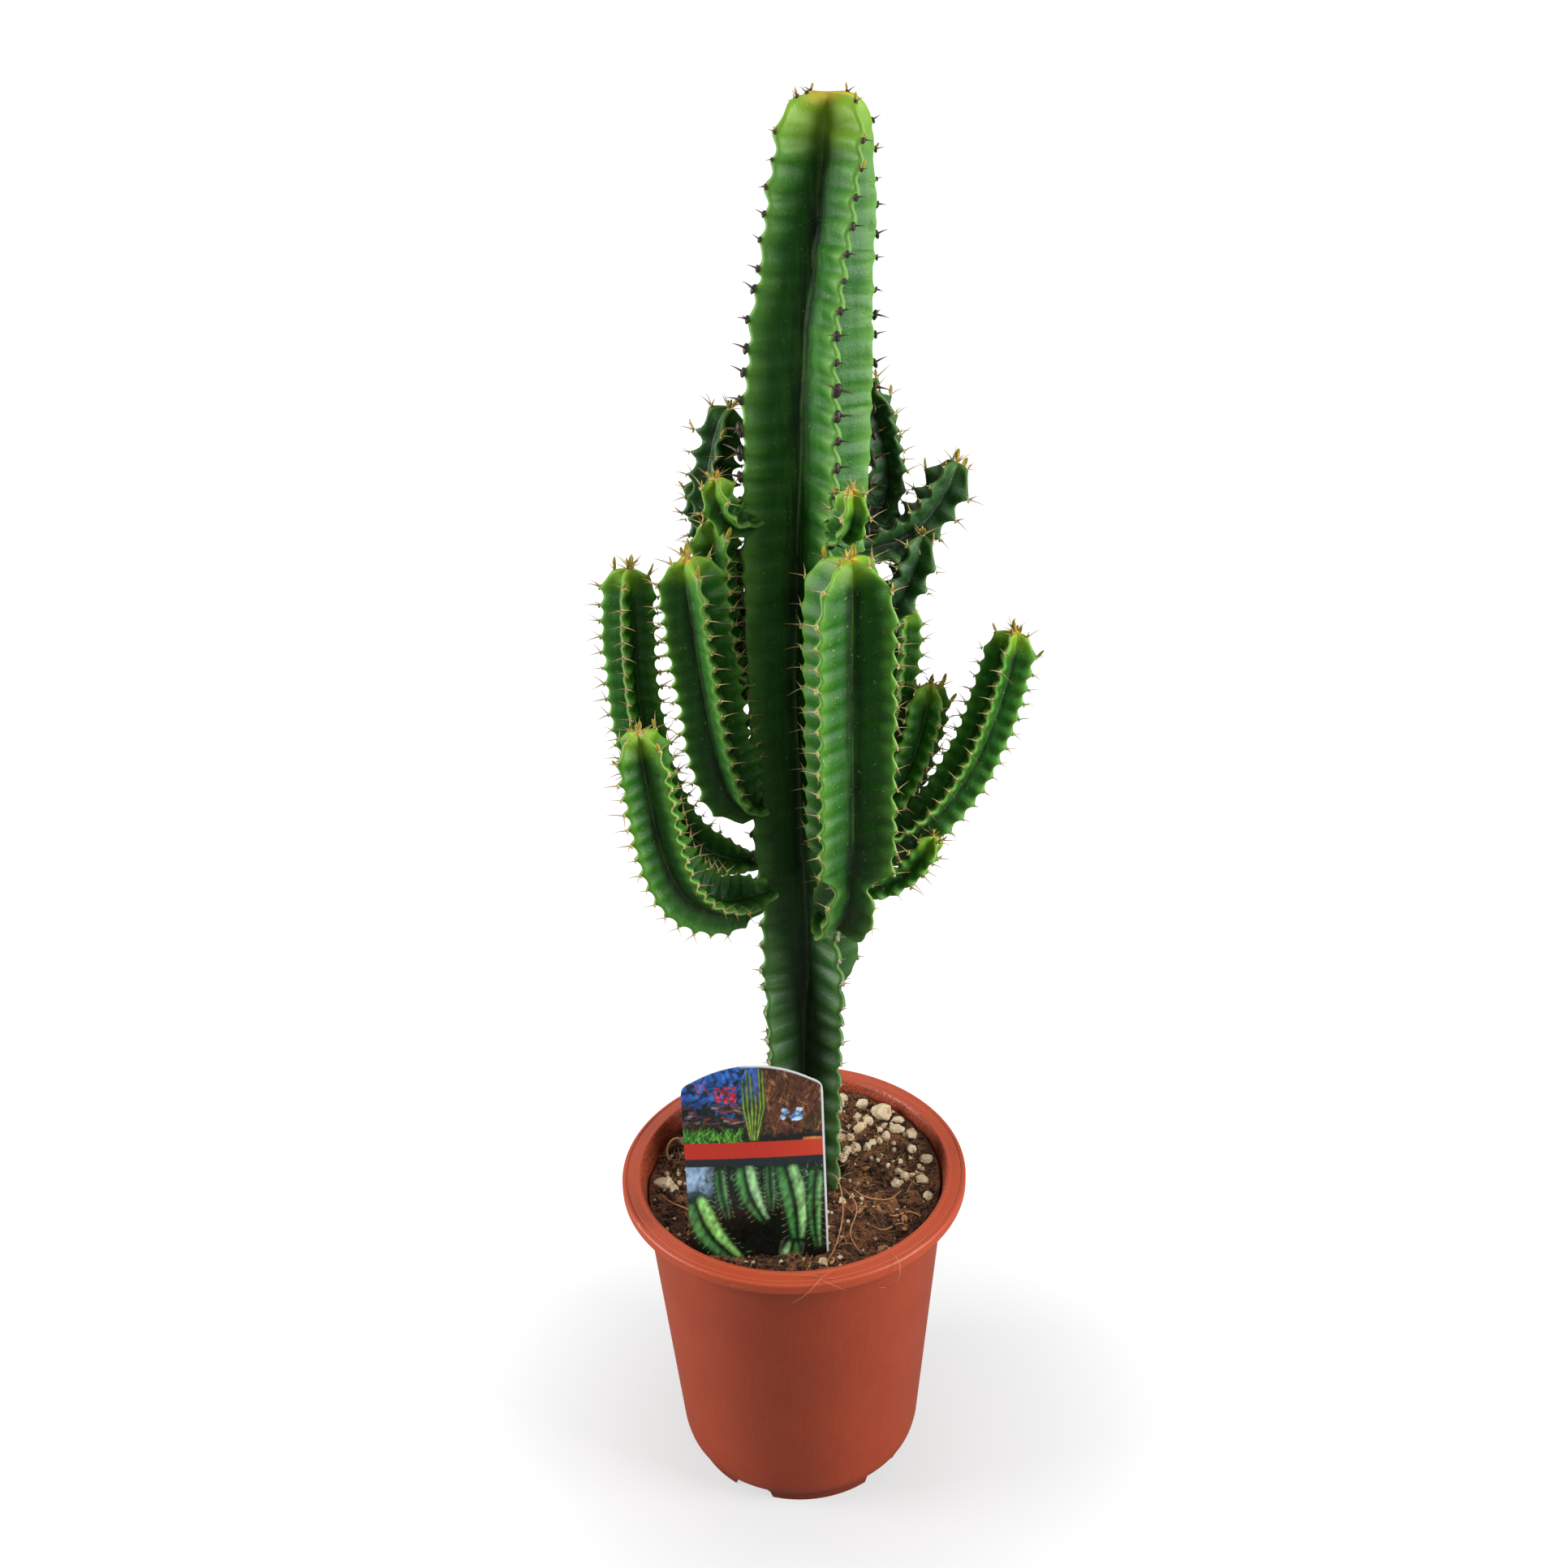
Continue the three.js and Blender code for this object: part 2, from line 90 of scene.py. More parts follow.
# %% Formula helper
class Wire:
    """One output socket that can be used like a number."""

    def __init__(self, tree, socket):
        self.tree, self.socket = tree, socket

    def math(self, operation, *others):
        node = self.tree.nodes.new("ShaderNodeMath")
        node.operation = operation
        for slot, value in enumerate((self, *others)):
            connect(value, node.inputs[slot])
        return Wire(self.tree, node.outputs[0])

    def __add__(self, other): return self.math("ADD", other)
    def __radd__(self, other): return self.math("ADD", other)
    def __mul__(self, other): return self.math("MULTIPLY", other)
    def __rmul__(self, other): return self.math("MULTIPLY", other)
    def __sub__(self, other): return self.math("SUBTRACT", other)
    def __rsub__(self, other): return (self * -1) + other
    def __truediv__(self, other): return self.math("DIVIDE", other)
    def __pow__(self, other): return self.math("POWER", other)
    def __abs__(self): return self.math("ABSOLUTE")


def connect(value, socket):
    """Links a wire or a node's output to a socket, or sets the socket to a plain value."""
    if isinstance(value, Wire):
        value.tree.links.new(value.socket, socket)
    elif isinstance(value, bpy.types.NodeSocket):
        socket.id_data.links.new(value, socket)
    else:
        socket.default_value = value


def put(tree, kind, inputs=None, output=0, **settings):
    """Adds a node, sets it up, joins its inputs by name or number, and gives back one output."""
    node = tree.nodes.new(kind)
    for name, value in settings.items():
        setattr(node, name, value)
    for key, value in (inputs or {}).items():
        found = node.inputs[key] if isinstance(key, int) else next(
            s for s in node.inputs if s.name == key and s.enabled)
        connect(value, found)
    outputs = [s for s in node.outputs if s.enabled]
    chosen = outputs[output] if isinstance(output, int) else node.outputs[output]
    return Wire(tree, chosen)


def vector_math(operation, first, second=None, scale=None):
    inputs = {0: first}
    if second is not None:
        inputs[1] = second
    if scale is not None:
        inputs["Scale"] = scale
    return put(first.tree, "ShaderNodeVectorMath", inputs, operation=operation)


def xyz(tree, x, y, z):
    return put(tree, "ShaderNodeCombineXYZ", {0: x, 1: y, 2: z})


def moved(spot, way, distance):
    """A place shifted along a direction, by a distance that can differ from point to point."""
    return vector_math("ADD", spot, vector_math("SCALE", way, scale=distance))


def clamped(wire):
    return wire.math("MAXIMUM", 0).math("MINIMUM", 1)


def blended(share, low, high):
    return (high - low) * share + low


print("formula helpers ready")

# %% [markdown]
# ## Groups and materials
# A node group is a small tree with named inputs, which many materials or pieces can share. A
# material here starts from Blender's Principled BSDF, and its plain values are set on that shader's
# own sockets. Colours are written as a paint program shows them and turned into Blender's linear
# values.

# %% Group and material helpers
def new_group(name, kind, inputs, outputs):
    """A node group with named inputs, given as name: (socket type, value), and named outputs."""
    tree = bpy.data.node_groups.new(name, kind)
    for label, (socket_type, value) in inputs.items():
        item = tree.interface.new_socket(label, in_out="INPUT", socket_type="NodeSocket" + socket_type)
        if value is not None:
            item.default_value = value
    for label, socket_type in outputs.items():
        tree.interface.new_socket(label, in_out="OUTPUT", socket_type="NodeSocket" + socket_type)
    entry = tree.nodes.new("NodeGroupInput")
    wires = {label: Wire(tree, entry.outputs[label]) for label in inputs}
    return tree, wires, tree.nodes.new("NodeGroupOutput")


def use_group(tree, group, inputs, output=0):
    """Places a node group in another tree and gives back one of its outputs, by name or number."""
    shading = tree.bl_idname == "ShaderNodeTree"
    node = tree.nodes.new("ShaderNodeGroup" if shading else "GeometryNodeGroup")
    node.node_tree = group
    for label, value in inputs.items():
        connect(value, node.inputs[label])
    return Wire(tree, node.outputs[output])


def colour(red, green, blue):
    """A colour given the way a paint program shows it, 0 to 255, in Blender's linear values."""
    return tuple(((v / 255 + 0.055) / 1.055) ** 2.4 if v > 10 else v / 255 / 12.92
                 for v in (red, green, blue)) + (1.0,)


def mixed(factor, first, second, blend="MIX"):
    """Mixes two colours in the tree that holds the factor."""
    node = factor.tree.nodes.new("ShaderNodeMix")
    node.data_type = "RGBA"
    node.blend_type = blend
    connect(factor, node.inputs[0])
    connect(first, node.inputs[6])
    connect(second, node.inputs[7])
    return Wire(factor.tree, node.outputs[2])


def noise_value(tree, place, scale, detail=3.0, roughness=0.55):
    return put(tree, "ShaderNodeTexNoise",
               {"Vector": place, "Scale": scale, "Detail": detail, "Roughness": roughness})


def ramp(value, low, high, start=0.0, end=1.0, smooth=True):
    """Maps low..high to start..end, held at both ends."""
    kind = "SMOOTHSTEP" if smooth else "LINEAR"
    return put(value.tree, "ShaderNodeMapRange",
               {0: value, 1: low, 2: high, 3: start, 4: end}, interpolation_type=kind)


def new_finish(name, roughness=0.5, **values):
    """A material with the Principled BSDF's plain values set on its own sockets."""
    material = bpy.data.materials.new(name)
    material.use_nodes = True
    shader = material.node_tree.nodes["Principled BSDF"]
    shader.inputs["Roughness"].default_value = roughness
    for label, value in values.items():
        shader.inputs[label.replace("_", " ")].default_value = value
    return material, material.node_tree, shader


def object_place(tree):
    return put(tree, "ShaderNodeTexCoord", output="Object")


def surface_value(tree, name, output="Fac"):
    return put(tree, "ShaderNodeAttribute", output=output, attribute_name=name)


print("group and material helpers ready")

# %% [markdown]
# ## Meshes
# Every piece that isn't grown by a node tree is a list of points and faces. These helpers make such
# a piece, close a row of rings into a solid, turn its faces outwards and put a material on it. A
# closed mesh that faces inwards has a negative volume, so measuring the volume finds that fault.

# %% Mesh helpers
def linked(name, mesh):
    """A new object in the scene that shows a mesh."""
    obj = bpy.data.objects.new(name, mesh)
    bpy.context.scene.collection.objects.link(obj)
    return obj


def mesh_object(name, points, faces, smooth=True):
    mesh = bpy.data.meshes.new(name)
    mesh.from_pydata([tuple(p) for p in points], [], faces)
    mesh.polygons.foreach_set("use_smooth", [smooth] * len(mesh.polygons))
    return linked(name, mesh)


def lofted(name, loops, first, last, shift):
    """A closed mesh through rings of equal count, with a fan of triangles at each end."""
    count = len(loops[0])
    points = [shift + Vector(first)] + [shift + Vector(p) for loop in loops for p in loop]
    points.append(shift + Vector(last))
    faces = []
    for k in range(count):
        n = (k + 1) % count
        faces.append((0, 1 + k, 1 + n))
        for r in range(len(loops) - 1):
            a = 1 + r * count
            faces.append((a + k, a + count + k, a + count + n, a + n))
        a = 1 + (len(loops) - 1) * count
        faces.append((len(points) - 1, a + n, a + k))
    return mesh_object(name, points, faces)


def outward(obj):
    """Recalculates the normals of a closed mesh and says whether its volume is positive."""
    work = bmesh.new()
    work.from_mesh(obj.data)
    bmesh.ops.remove_doubles(work, verts=work.verts, dist=1e-7)
    bmesh.ops.recalc_face_normals(work, faces=work.faces)
    if work.calc_volume(signed=True) < 0:
        bmesh.ops.reverse_faces(work, faces=work.faces)
    volume = work.calc_volume(signed=True)
    open_edges = sum(1 for e in work.edges if len(e.link_faces) != 2)
    work.to_mesh(obj.data)
    work.free()
    print(f"{obj.name}: {volume * 1e6:.1f} cm3, open edges {open_edges}, "
          f"faces {len(obj.data.polygons)}")
    return obj


def smooth_by_angle(mesh, degrees):
    """Rounds the shading across shallow edges and keeps it crisp across sharp ones."""
    mesh.polygons.foreach_set("use_smooth", [True] * len(mesh.polygons))
    mesh.set_sharp_from_angle(angle=math.radians(degrees))


def joined(name, objects):
    """One plain object with the meshes of several, which are removed."""
    whole = bmesh.new()
    for obj in objects:
        whole.from_mesh(obj.data)
    mesh = bpy.data.meshes.new(name)
    whole.to_mesh(mesh)
    whole.free()
    for obj in objects:
        bpy.data.objects.remove(obj)
    return linked(name, mesh)


def triangles(mesh):
    return sum(len(p.vertices) - 2 for p in mesh.polygons)


def cover(mesh, finish):
    """Puts one material on a whole mesh, whatever its faces pointed at before."""
    mesh.materials.clear()
    mesh.materials.append(finish)
    mesh.polygons.foreach_set("material_index", [0] * len(mesh.polygons))


print("mesh helpers ready")

# %% [markdown]
# ## Light and floor
# Large soft lights stand on both sides of the plant. They brighten the walls of the ribs that face
# left and right, and the walls that face the viewer stay darker, which gives the stem its deep
# stripes. Weaker lights from above, the front and the back open up the shadows.

# %% Lights
MIDDLE = Vector((0, 0, 0.32))
# name: place, width and height, power in watts
LIGHTS = {
    "light_left": ((-1.3, -0.12, 0.62), (0.6, 1.1), 23),
    "light_right": ((1.25, -0.50, 0.75), (0.6, 1.1), 27),
    "light_top": ((0.1, 0.10, 1.9), (0.8, 0.8), 9),
    "light_front": ((0.5, -2.1, 1.3), (1.0, 1.0), 4),
    "light_back": ((-0.3, 2.1, 1.3), (1.2, 1.0), 6),
}
for name, (place, size, power) in LIGHTS.items():
    light = bpy.data.lights.new(name, "AREA")
    light.shape = "RECTANGLE"
    light.size, light.size_y = size
    light.energy = power
    lamp = linked(name, light)
    lamp.location = place
    lamp.rotation_euler = (MIDDLE - Vector(place)).to_track_quat("-Z", "Y").to_euler()
print("lights:", len(LIGHTS))

# %% [markdown]
# The background and the floor look nearly white, but a white room would light the plant from all
# sides and wash its stripes out. So both are bright to the camera's own rays only, and dim as a
# source of light. The floor's glow is weaker close to the pot and fades in with the distance, which
# paints a shadow on the floor round the pot.

# %% Background and floor
world = bpy.data.worlds.new("studio")
world.use_nodes = True
bpy.context.scene.world = world
sky = world.node_tree
sky.nodes.clear()
bright_sky = put(sky, "ShaderNodeBackground", {"Color": (1, 1, 1, 1), "Strength": 1.0})
dim_sky = put(sky, "ShaderNodeBackground", {"Color": (0.96, 0.98, 1, 1), "Strength": 0.12})
seen = put(sky, "ShaderNodeLightPath", output="Is Camera Ray")
shown = put(sky, "ShaderNodeMixShader", {0: seen, 1: dim_sky, 2: bright_sky})
connect(shown, sky.nodes.new("ShaderNodeOutputWorld").inputs["Surface"])

FLOOR_REACH = 20
floor_corners = [(x * FLOOR_REACH, y * FLOOR_REACH, 0) for x, y in ((-1, -1), (1, -1), (1, 1), (-1, 1))]
floor = mesh_object("floor", floor_corners, [(0, 1, 2, 3)], smooth=False)
paper, tree, shader = new_finish(
    "white_floor", 0.9, Base_Color=(0.22, 0.222, 0.22, 1), Emission_Color=(1, 1, 1, 1))
from_plant = put(tree, "ShaderNodeVectorMath", {0: object_place(tree)}, output="Value",
                 operation="LENGTH")
seen = put(tree, "ShaderNodeLightPath", output="Is Camera Ray")
# painted shadow: to the camera the floor glows less close to the pot, so it looks shaded round its foot
connect(ramp(from_plant, 0.05, 0.36, 0.60, 1.03) * seen, shader.inputs["Emission Strength"])
cover(floor.data, paper)
bpy.context.scene.view_settings.view_transform = "Standard"
print("floor:", 2 * FLOOR_REACH, "m across")

# %% [markdown]
# ## Shared finishes
# Every surface here is a little blotchy and a little rough. Both effects are used by many
# materials, so each is built once as a shader node group: Mottle mixes two colours by layered
# noise, and Grain turns fine noise into a bumpy normal. Each material places them with its own
# sizes and colours. Mottle comes first. Its noise has five layers, so a patch has a ragged edge.

# %% Mottle group
mottle, given, result = new_group(
    "Mottle", "ShaderNodeTree",
    {"Place": ("Vector", None), "Scale": ("Float", 100.0), "First": ("Color", (1, 1, 1, 1)),
     "Second": ("Color", (0, 0, 0, 1)), "Contrast": ("Float", 1.0)},
    {"Color": "Color", "Mask": "Float"})
cloud = noise_value(mottle, given["Place"], given["Scale"], 5.0, 0.6)
patch = clamped((cloud - 0.5) * given["Contrast"] + 0.5)
connect(mixed(patch, given["First"], given["Second"]), result.inputs["Color"])
connect(patch, result.inputs["Mask"])
print("Mottle nodes:", len(mottle.nodes))

# %% [markdown]
# Pores, dust and scratches are too small to be worth real shape. Fine noise that tilts the
# surface's normal is enough, and its depth is given in metres, so that each material can say how
# rough the real surface is. A plain finish is both groups on one material, and some pieces need
# no more than that.

# %% Grain group
grain, given, result = new_group(
    "Grain", "ShaderNodeTree",
    {"Place": ("Vector", None), "Scale": ("Float", 1000.0), "Depth": ("Float", 0.0002),
     "Normal": ("Vector", None)},
    {"Normal": "Vector", "Height": "Float"})
fine = noise_value(grain, given["Place"], given["Scale"], 4.0, 0.6)
bump = put(grain, "ShaderNodeBump",
           {"Strength": 1.0, "Distance": given["Depth"], "Height": fine, "Normal": given["Normal"]})
connect(bump, result.inputs["Normal"])
connect(fine, result.inputs["Height"])
print("Grain nodes:", len(grain.nodes))


def mottled(tree, place, scale, first, second, contrast):
    return use_group(tree, mottle, {"Place": place, "Scale": scale, "First": colour(*first),
                                    "Second": colour(*second), "Contrast": contrast})


def grained(tree, shader, place, scale, depth, **more):
    """Gives a material the bumps of the Grain group."""
    values = {"Place": place, "Scale": scale, "Depth": depth, **more}
    connect(use_group(tree, grain, values), shader.inputs["Normal"])


def plain_finish(name, roughness, colours, bumps):
    """A material of two mottled colours (scale, first, second, contrast) and bumps (scale, depth)."""
    material, tree, shader = new_finish(name, roughness)
    place = object_place(tree)
    connect(mottled(tree, place, *colours), shader.inputs["Base Color"])
    grained(tree, shader, place, *bumps)
    return material


# %% [markdown]
# ## Plastic pot
# The pot is moulded from thin polypropylene, coloured like terracotta. It tapers to a rounded
# corner, stands on a foot ring with five notches that let water out, and ends at the top in a wide
# ring with a turned-down lip. It is round, so its outline is turned about the axis. The notches and
# drain holes are cut with one Boolean, because they are the only parts that aren't round.

# %% Pot outline
POT = {
    "height": 168 * MM, "rim": 85 * MM, "lip": 6 * MM, "body_top": 75.4 * MM,
    "body_bottom": 61.8 * MM, "corner": 14 * MM, "foot": 56.4 * MM, "foot_height": 8 * MM,
    "wall": 1.5 * MM, "notches": 5, "first_notch": -45, "notch_width": 22 * MM,
    "notch_depth": 6.5 * MM, "notch_from": 49 * MM, "notch_run": 13 * MM,
    "drain": 5 * MM, "drain_circle": 40 * MM, "drain_from": 2 * MM, "drain_run": 12 * MM,
}


def pot_inner_radius(z):
    share = (z - POT["corner"]) / (POT["height"] - POT["lip"] - POT["corner"])
    return POT["body_bottom"] + (POT["body_top"] - POT["body_bottom"]) * share - POT["wall"]


def rounded(corners, radius, steps=4):
    """Replaces the corners of an outline with short arcs, held to a part of each side."""
    points = []
    for i, corner in enumerate(corners):
        if i in (0, len(corners) - 1):
            points.append(Vector(corner))
            continue
        here, before, after = Vector(corner), Vector(corners[i - 1]), Vector(corners[i + 1])
        cut = min(radius, (before - here).length * 0.4, (after - here).length * 0.4)
        a = here + (before - here).normalized() * cut
        b = here + (after - here).normalized() * cut
        for k in range(steps + 1):
            t = k / steps
            points.append(a * (1 - t) ** 2 + here * 2 * t * (1 - t) + b * t ** 2)
    return points


def pot_outline():
    h, lip, wall = POT["height"], POT["lip"], POT["wall"]
    under = h - lip
    inner = pot_inner_radius(under)
    floor_top = POT["foot_height"] + wall
    at_corner = pot_inner_radius(POT["corner"])
    corners = [
        (0, floor_top), (at_corner - 6 * MM, floor_top), (at_corner - 2 * MM, floor_top + 2 * MM),
        (at_corner, POT["corner"]), (inner, under), (inner + 1 * MM, h - 1 * MM),
        (inner + 2 * MM, h + 0.5 * MM), (inner + 3.4 * MM, h + 0.5 * MM), (inner + 4.2 * MM, h),
        (POT["rim"] - 3.2 * MM, h), (POT["rim"] - 2.8 * MM, h - 0.35 * MM),
        (POT["rim"] - 2.3 * MM, h - 0.35 * MM), (POT["rim"] - 1.9 * MM, h),
        (POT["rim"] - 0.6 * MM, h - 0.1 * MM), (POT["rim"], h - 0.9 * MM),
        (POT["rim"], under + 0.8 * MM), (POT["rim"] - 0.8 * MM, under),
        (POT["body_top"] + 1.2 * MM, under), (POT["body_top"], under - 1.2 * MM),
        (POT["body_top"] - 1.15 * MM, under - 12 * MM),
        (POT["body_top"] - 1.55 * MM, under - 12.6 * MM),
        (POT["body_bottom"] + 0.05 * MM, POT["corner"]),
        (POT["body_bottom"] - 1 * MM, POT["foot_height"] + 1.5 * MM),
        (POT["foot"] + 0.6 * MM, POT["foot_height"] - 1.5 * MM), (POT["foot"], 0),
        (POT["foot"] - wall, 0), (POT["foot"] - wall, POT["foot_height"]), (0, POT["foot_height"]),
    ]
    return rounded(corners, 1.2 * MM)


print("outline points:", len(pot_outline()))

# %% [markdown]
# A mould gives a round pot by turning one outline about an axis, and the mesh is made the same way.
# The outline starts and ends on the axis, so the solid closes by itself.

# %% Turn the outline
def turned(name, outline, segments, centre):
    """A closed solid of revolution: the outline starts and ends on the axis."""
    points = [centre + Vector((0, 0, outline[0].y))]
    for p in outline[1:-1]:
        for k in range(segments):
            a = TAU * k / segments
            points.append(centre + Vector((p.x * math.cos(a), p.x * math.sin(a), p.y)))
    points.append(centre + Vector((0, 0, outline[-1].y)))
    faces = []
    last = len(points) - 1
    for k in range(segments):
        n = (k + 1) % segments
        faces.append((0, 1 + n, 1 + k))
        base = 1 + (len(outline) - 3) * segments
        faces.append((last, base + k, base + n))
        for r in range(len(outline) - 3):
            a = 1 + r * segments
            faces.append((a + k, a + n, a + segments + n, a + segments + k))
    return mesh_object(name, points, faces)


pot = outward(turned("nursery_pot", pot_outline(), 240, POT_AXIS))

# %% [markdown]
# Water leaves through five holes in the floor and five notches in the foot ring. Each is a flat
# outline pushed through the plastic. They are joined first and cut together, because one Boolean
# on a clean body leaves fewer stray edges than ten in a row.

# %% Cut the notches and the drain holes
def prism(outline, depth, place):
    """The points and faces of a flat outline in X and Z pushed along Y, then moved by a matrix."""
    n = len(outline)
    points = [place @ Vector((x, y, z)) for y in (0, depth) for x, z in outline]
    faces = [tuple(range(n)), tuple(range(2 * n - 1, n - 1, -1))]
    faces += [(k, k + n, (k + 1) % n + n, (k + 1) % n) for k in range(n)]
    return points, faces


half, deep = POT["notch_width"] / 2, POT["notch_depth"]
arch = [(-half, -0.001), (half, -0.001)]
arch += [(half * (0.86 - 0.46 * t), deep * (0.6 + 0.4 * math.sin(t * math.pi / 2))) for t in
         (0, 0.25, 0.5, 0.75, 1)]
arch += [(-x, z) for x, z in reversed(arch[2:])]
ring = [(POT["drain"] * math.cos(a), POT["drain"] * math.sin(a))
        for a in (TAU * k / 32 for k in range(32))]
cut_points, cut_faces = [], []
for i in range(POT["notches"]):
    spin = Matrix.Rotation(math.radians(POT["first_notch"] + 72 * i - 90), 4, "Z")
    spin = Matrix.Translation(POT_AXIS) @ spin
    notch = spin @ Matrix.Translation((0, POT["notch_from"], 0))
    hole = (spin @ Matrix.Translation((0, POT["drain_circle"], POT["drain_from"]))
            @ Matrix.Rotation(math.radians(90), 4, "X"))
    for outline, depth, place in ((arch, POT["notch_run"], notch), (ring, -POT["drain_run"], hole)):
        points, faces = prism(outline, depth, place)
        cut_faces += [tuple(v + len(cut_points) for v in face) for face in faces]
        cut_points += points
cutter = outward(mesh_object("pot_cutter", cut_points, cut_faces))
cut = pot.modifiers.new("cut", "BOOLEAN")
cut.object = cutter
cut.solver = "EXACT"
finished = bpy.data.meshes.new_from_object(pot.evaluated_get(bpy.context.evaluated_depsgraph_get()))
pot.modifiers.remove(cut)
pot.data = finished
bpy.data.objects.remove(cutter)
outward(pot)


smooth_by_angle(pot.data, 40)

# %% [markdown]
# Polypropylene is slightly waxy: its shine is broad, with faint flow streaks and fine scratches.
# Soil dust clings to the inside of the wall and to the ring, and the lip has pale scuffs where pots
# were stacked. The dust follows the height and the radius, so both are worked out from the
# position.

# %% Pot plastic
plastic, tree, shader = new_finish("pot_plastic", 0.42, IOR=1.44)
place = object_place(tree)
flat = vector_math("MULTIPLY", vector_math("SUBTRACT", place, tuple(POT_AXIS)), (1, 1, 0))
radius = put(tree, "ShaderNodeVectorMath", {0: flat}, output="Value", operation="LENGTH")
height = put(tree, "ShaderNodeSeparateXYZ", {0: place}, output=2)
body = mottled(tree, place, 26.0, (152, 57, 29), (168, 66, 34), 1.6)
# painted shade: the plastic is darker towards the foot ring at the bottom, where shadow falls
body = mixed(ramp(height, 0.001, 0.016, 0.5, 0), body, colour(88, 38, 24))
# painted light: the rim at the top is a lighter orange, as the light from above falls on it
rim_light_share = ramp(height, 0.1605, 0.1625)
body = mixed(rim_light_share, body, colour(182, 74, 42))
streaks = noise_value(tree, vector_math("MULTIPLY", place, (900.0, 900.0, 30.0)), 1.0, 2.0)
body = mixed(ramp(streaks, 0.35, 0.75, 0, 0.10), body, colour(190, 100, 74))
inside = ramp(radius, 0.0742, 0.0768, 1, 0) * ramp(height, 0.150, 0.160)
specks = noise_value(tree, place, 900.0, 4.0, 0.7)
dust_mask = ramp(specks, 0.44, 0.60) * clamped(inside * 0.9 + ramp(height, 0.1676, 0.1682) * 0.10)
body = mixed(dust_mask, body, colour(62, 38, 26))
scuffs = noise_value(tree, vector_math("MULTIPLY", place, (60.0, 60.0, 900.0)), 1.0, 4.0, 0.7)
scuffs = ramp(scuffs, 0.62, 0.72)
body = mixed(scuffs * ramp(radius, 0.0836, 0.0848) * 0.45, body, colour(228, 160, 130))
connect(body, shader.inputs["Base Color"])
connect(clamped(0.36 + dust_mask * 0.4 + scuffs * 0.1 + streaks * 0.12), shader.inputs["Roughness"])
grained(tree, shader, place, 1400.0, 0.00006)
cover(pot.data, plastic)
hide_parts("pot")
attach(pot, "root")
print("pot triangles:", triangles(pot.data))

# %% [markdown]
# ## Soil
# The pot is filled with peat, heaped a little towards the back right. One closed mesh carries the
# height of the heap and its lumps. Its top is a disc of rings, and its sides and bottom are plain,
# since they touch the pot. The litter that makes it look like peat is scattered on it afterwards.

# %% Soil body
SOIL = {"level": 156.5 * MM, "rise": 7 * MM, "from": -40 * MM, "to": 90 * MM, "lump": 0.8 * MM}
SOIL_BOTTOM = POT["foot_height"] + POT["wall"] + 0.3 * MM


def smooth_step(low, high, x):
    t = min(max((x - low) / (high - low), 0), 1)
    return t * t * (3 - 2 * t)


def soil_height(x, y):
    """Height of the smoothed soil at a place given from the pot's axis."""
    heap = SOIL["rise"] * smooth_step(SOIL["from"], SOIL["to"], 0.55 * x + 0.85 * y)
    x, y = x / MM, y / MM
    lumps = math.sin(x * 0.16 + 1) * math.cos(y * 0.19 - 0.6) + 0.6 * math.sin(x * 0.31 - y * 0.27)
    return SOIL["level"] + heap + SOIL["lump"] * lumps


def crumbly_height(x, y, edge):
    """The soil's height with its clods and dips, calmer beside the wall."""
    calm = smooth_step(0, 9 * MM, edge - math.hypot(x, y))
    clods = noise.fractal(Vector((x * 70, y * 70, 3.1)), 0.9, 2.1, 5)
    return soil_height(x, y) + 1.5 * MM * clods * (0.35 + 0.65 * calm)


def soil_rings(segments, rings):
    """Rings from the middle of the top out to the wall, then down it to the bottom."""
    edge = pot_inner_radius(SOIL["level"]) - 0.9 * MM
    circle = [(math.cos(TAU * k / segments), math.sin(TAU * k / segments))
              for k in range(segments)]
    loops = []
    for r in range(1, rings + 1):
        radius = edge * r / rings
        loops.append([(radius * c, radius * s, crumbly_height(radius * c, radius * s, edge))
                      for c, s in circle])
    for z in (120 * MM, 60 * MM, POT["corner"]):
        radius = pot_inner_radius(z) - 1.0 * MM
        loops.append([(radius * c, radius * s, z) for c, s in circle])
    radius = pot_inner_radius(POT["corner"]) - 7.5 * MM
    loops.append([(radius * c, radius * s, SOIL_BOTTOM) for c, s in circle])
    return loops


loops = soil_rings(180, 64)
soil = outward(lofted("peat", loops, (0, 0, crumbly_height(0, 0, 0.07)),
                      (0, 0, SOIL_BOTTOM), POT_AXIS))

# %% [markdown]
# Peat is a mix of near-black dust, brown crumbs and rusty coir, so its colour changes every few
# millimetres. The same finish serves the body and the crumbs lying on it, which hides the join.

# %% Peat finish
peat, tree, shader = new_finish("potting_mix", 0.95)
place = object_place(tree)
base = mottled(tree, place, 260.0, (52, 31, 19), (118, 76, 48), 2.8)
rusty = ramp(noise_value(tree, place, 75.0, 3.0), 0.48, 0.62, 0, 0.65)
base = mixed(rusty, base, colour(150, 98, 60))
black = ramp(noise_value(tree, place, 700.0, 3.0), 0.48, 0.38, 0, 0.8)
base = mixed(black, base, colour(20, 12, 8))
connect(base, shader.inputs["Base Color"])
grained(tree, shader, place, 900.0, 0.0009)
cover(soil.data, peat)
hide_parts("soil")
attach(soil, "root")
print("soil triangles:", triangles(soil.data))

# %% [markdown]
# ## Litter on the soil
# Crumbs, grit and fibres are the same few shapes repeated thousands of times, which is Geometry
# Nodes' own job. Points are spread over a disc, one small shape is put on each with its own size
# and turn, and the shapes are made real. Then noise pushes their points about, so no two stay
# alike. Each point is dropped on the soil by a ray, so the litter follows the clods.

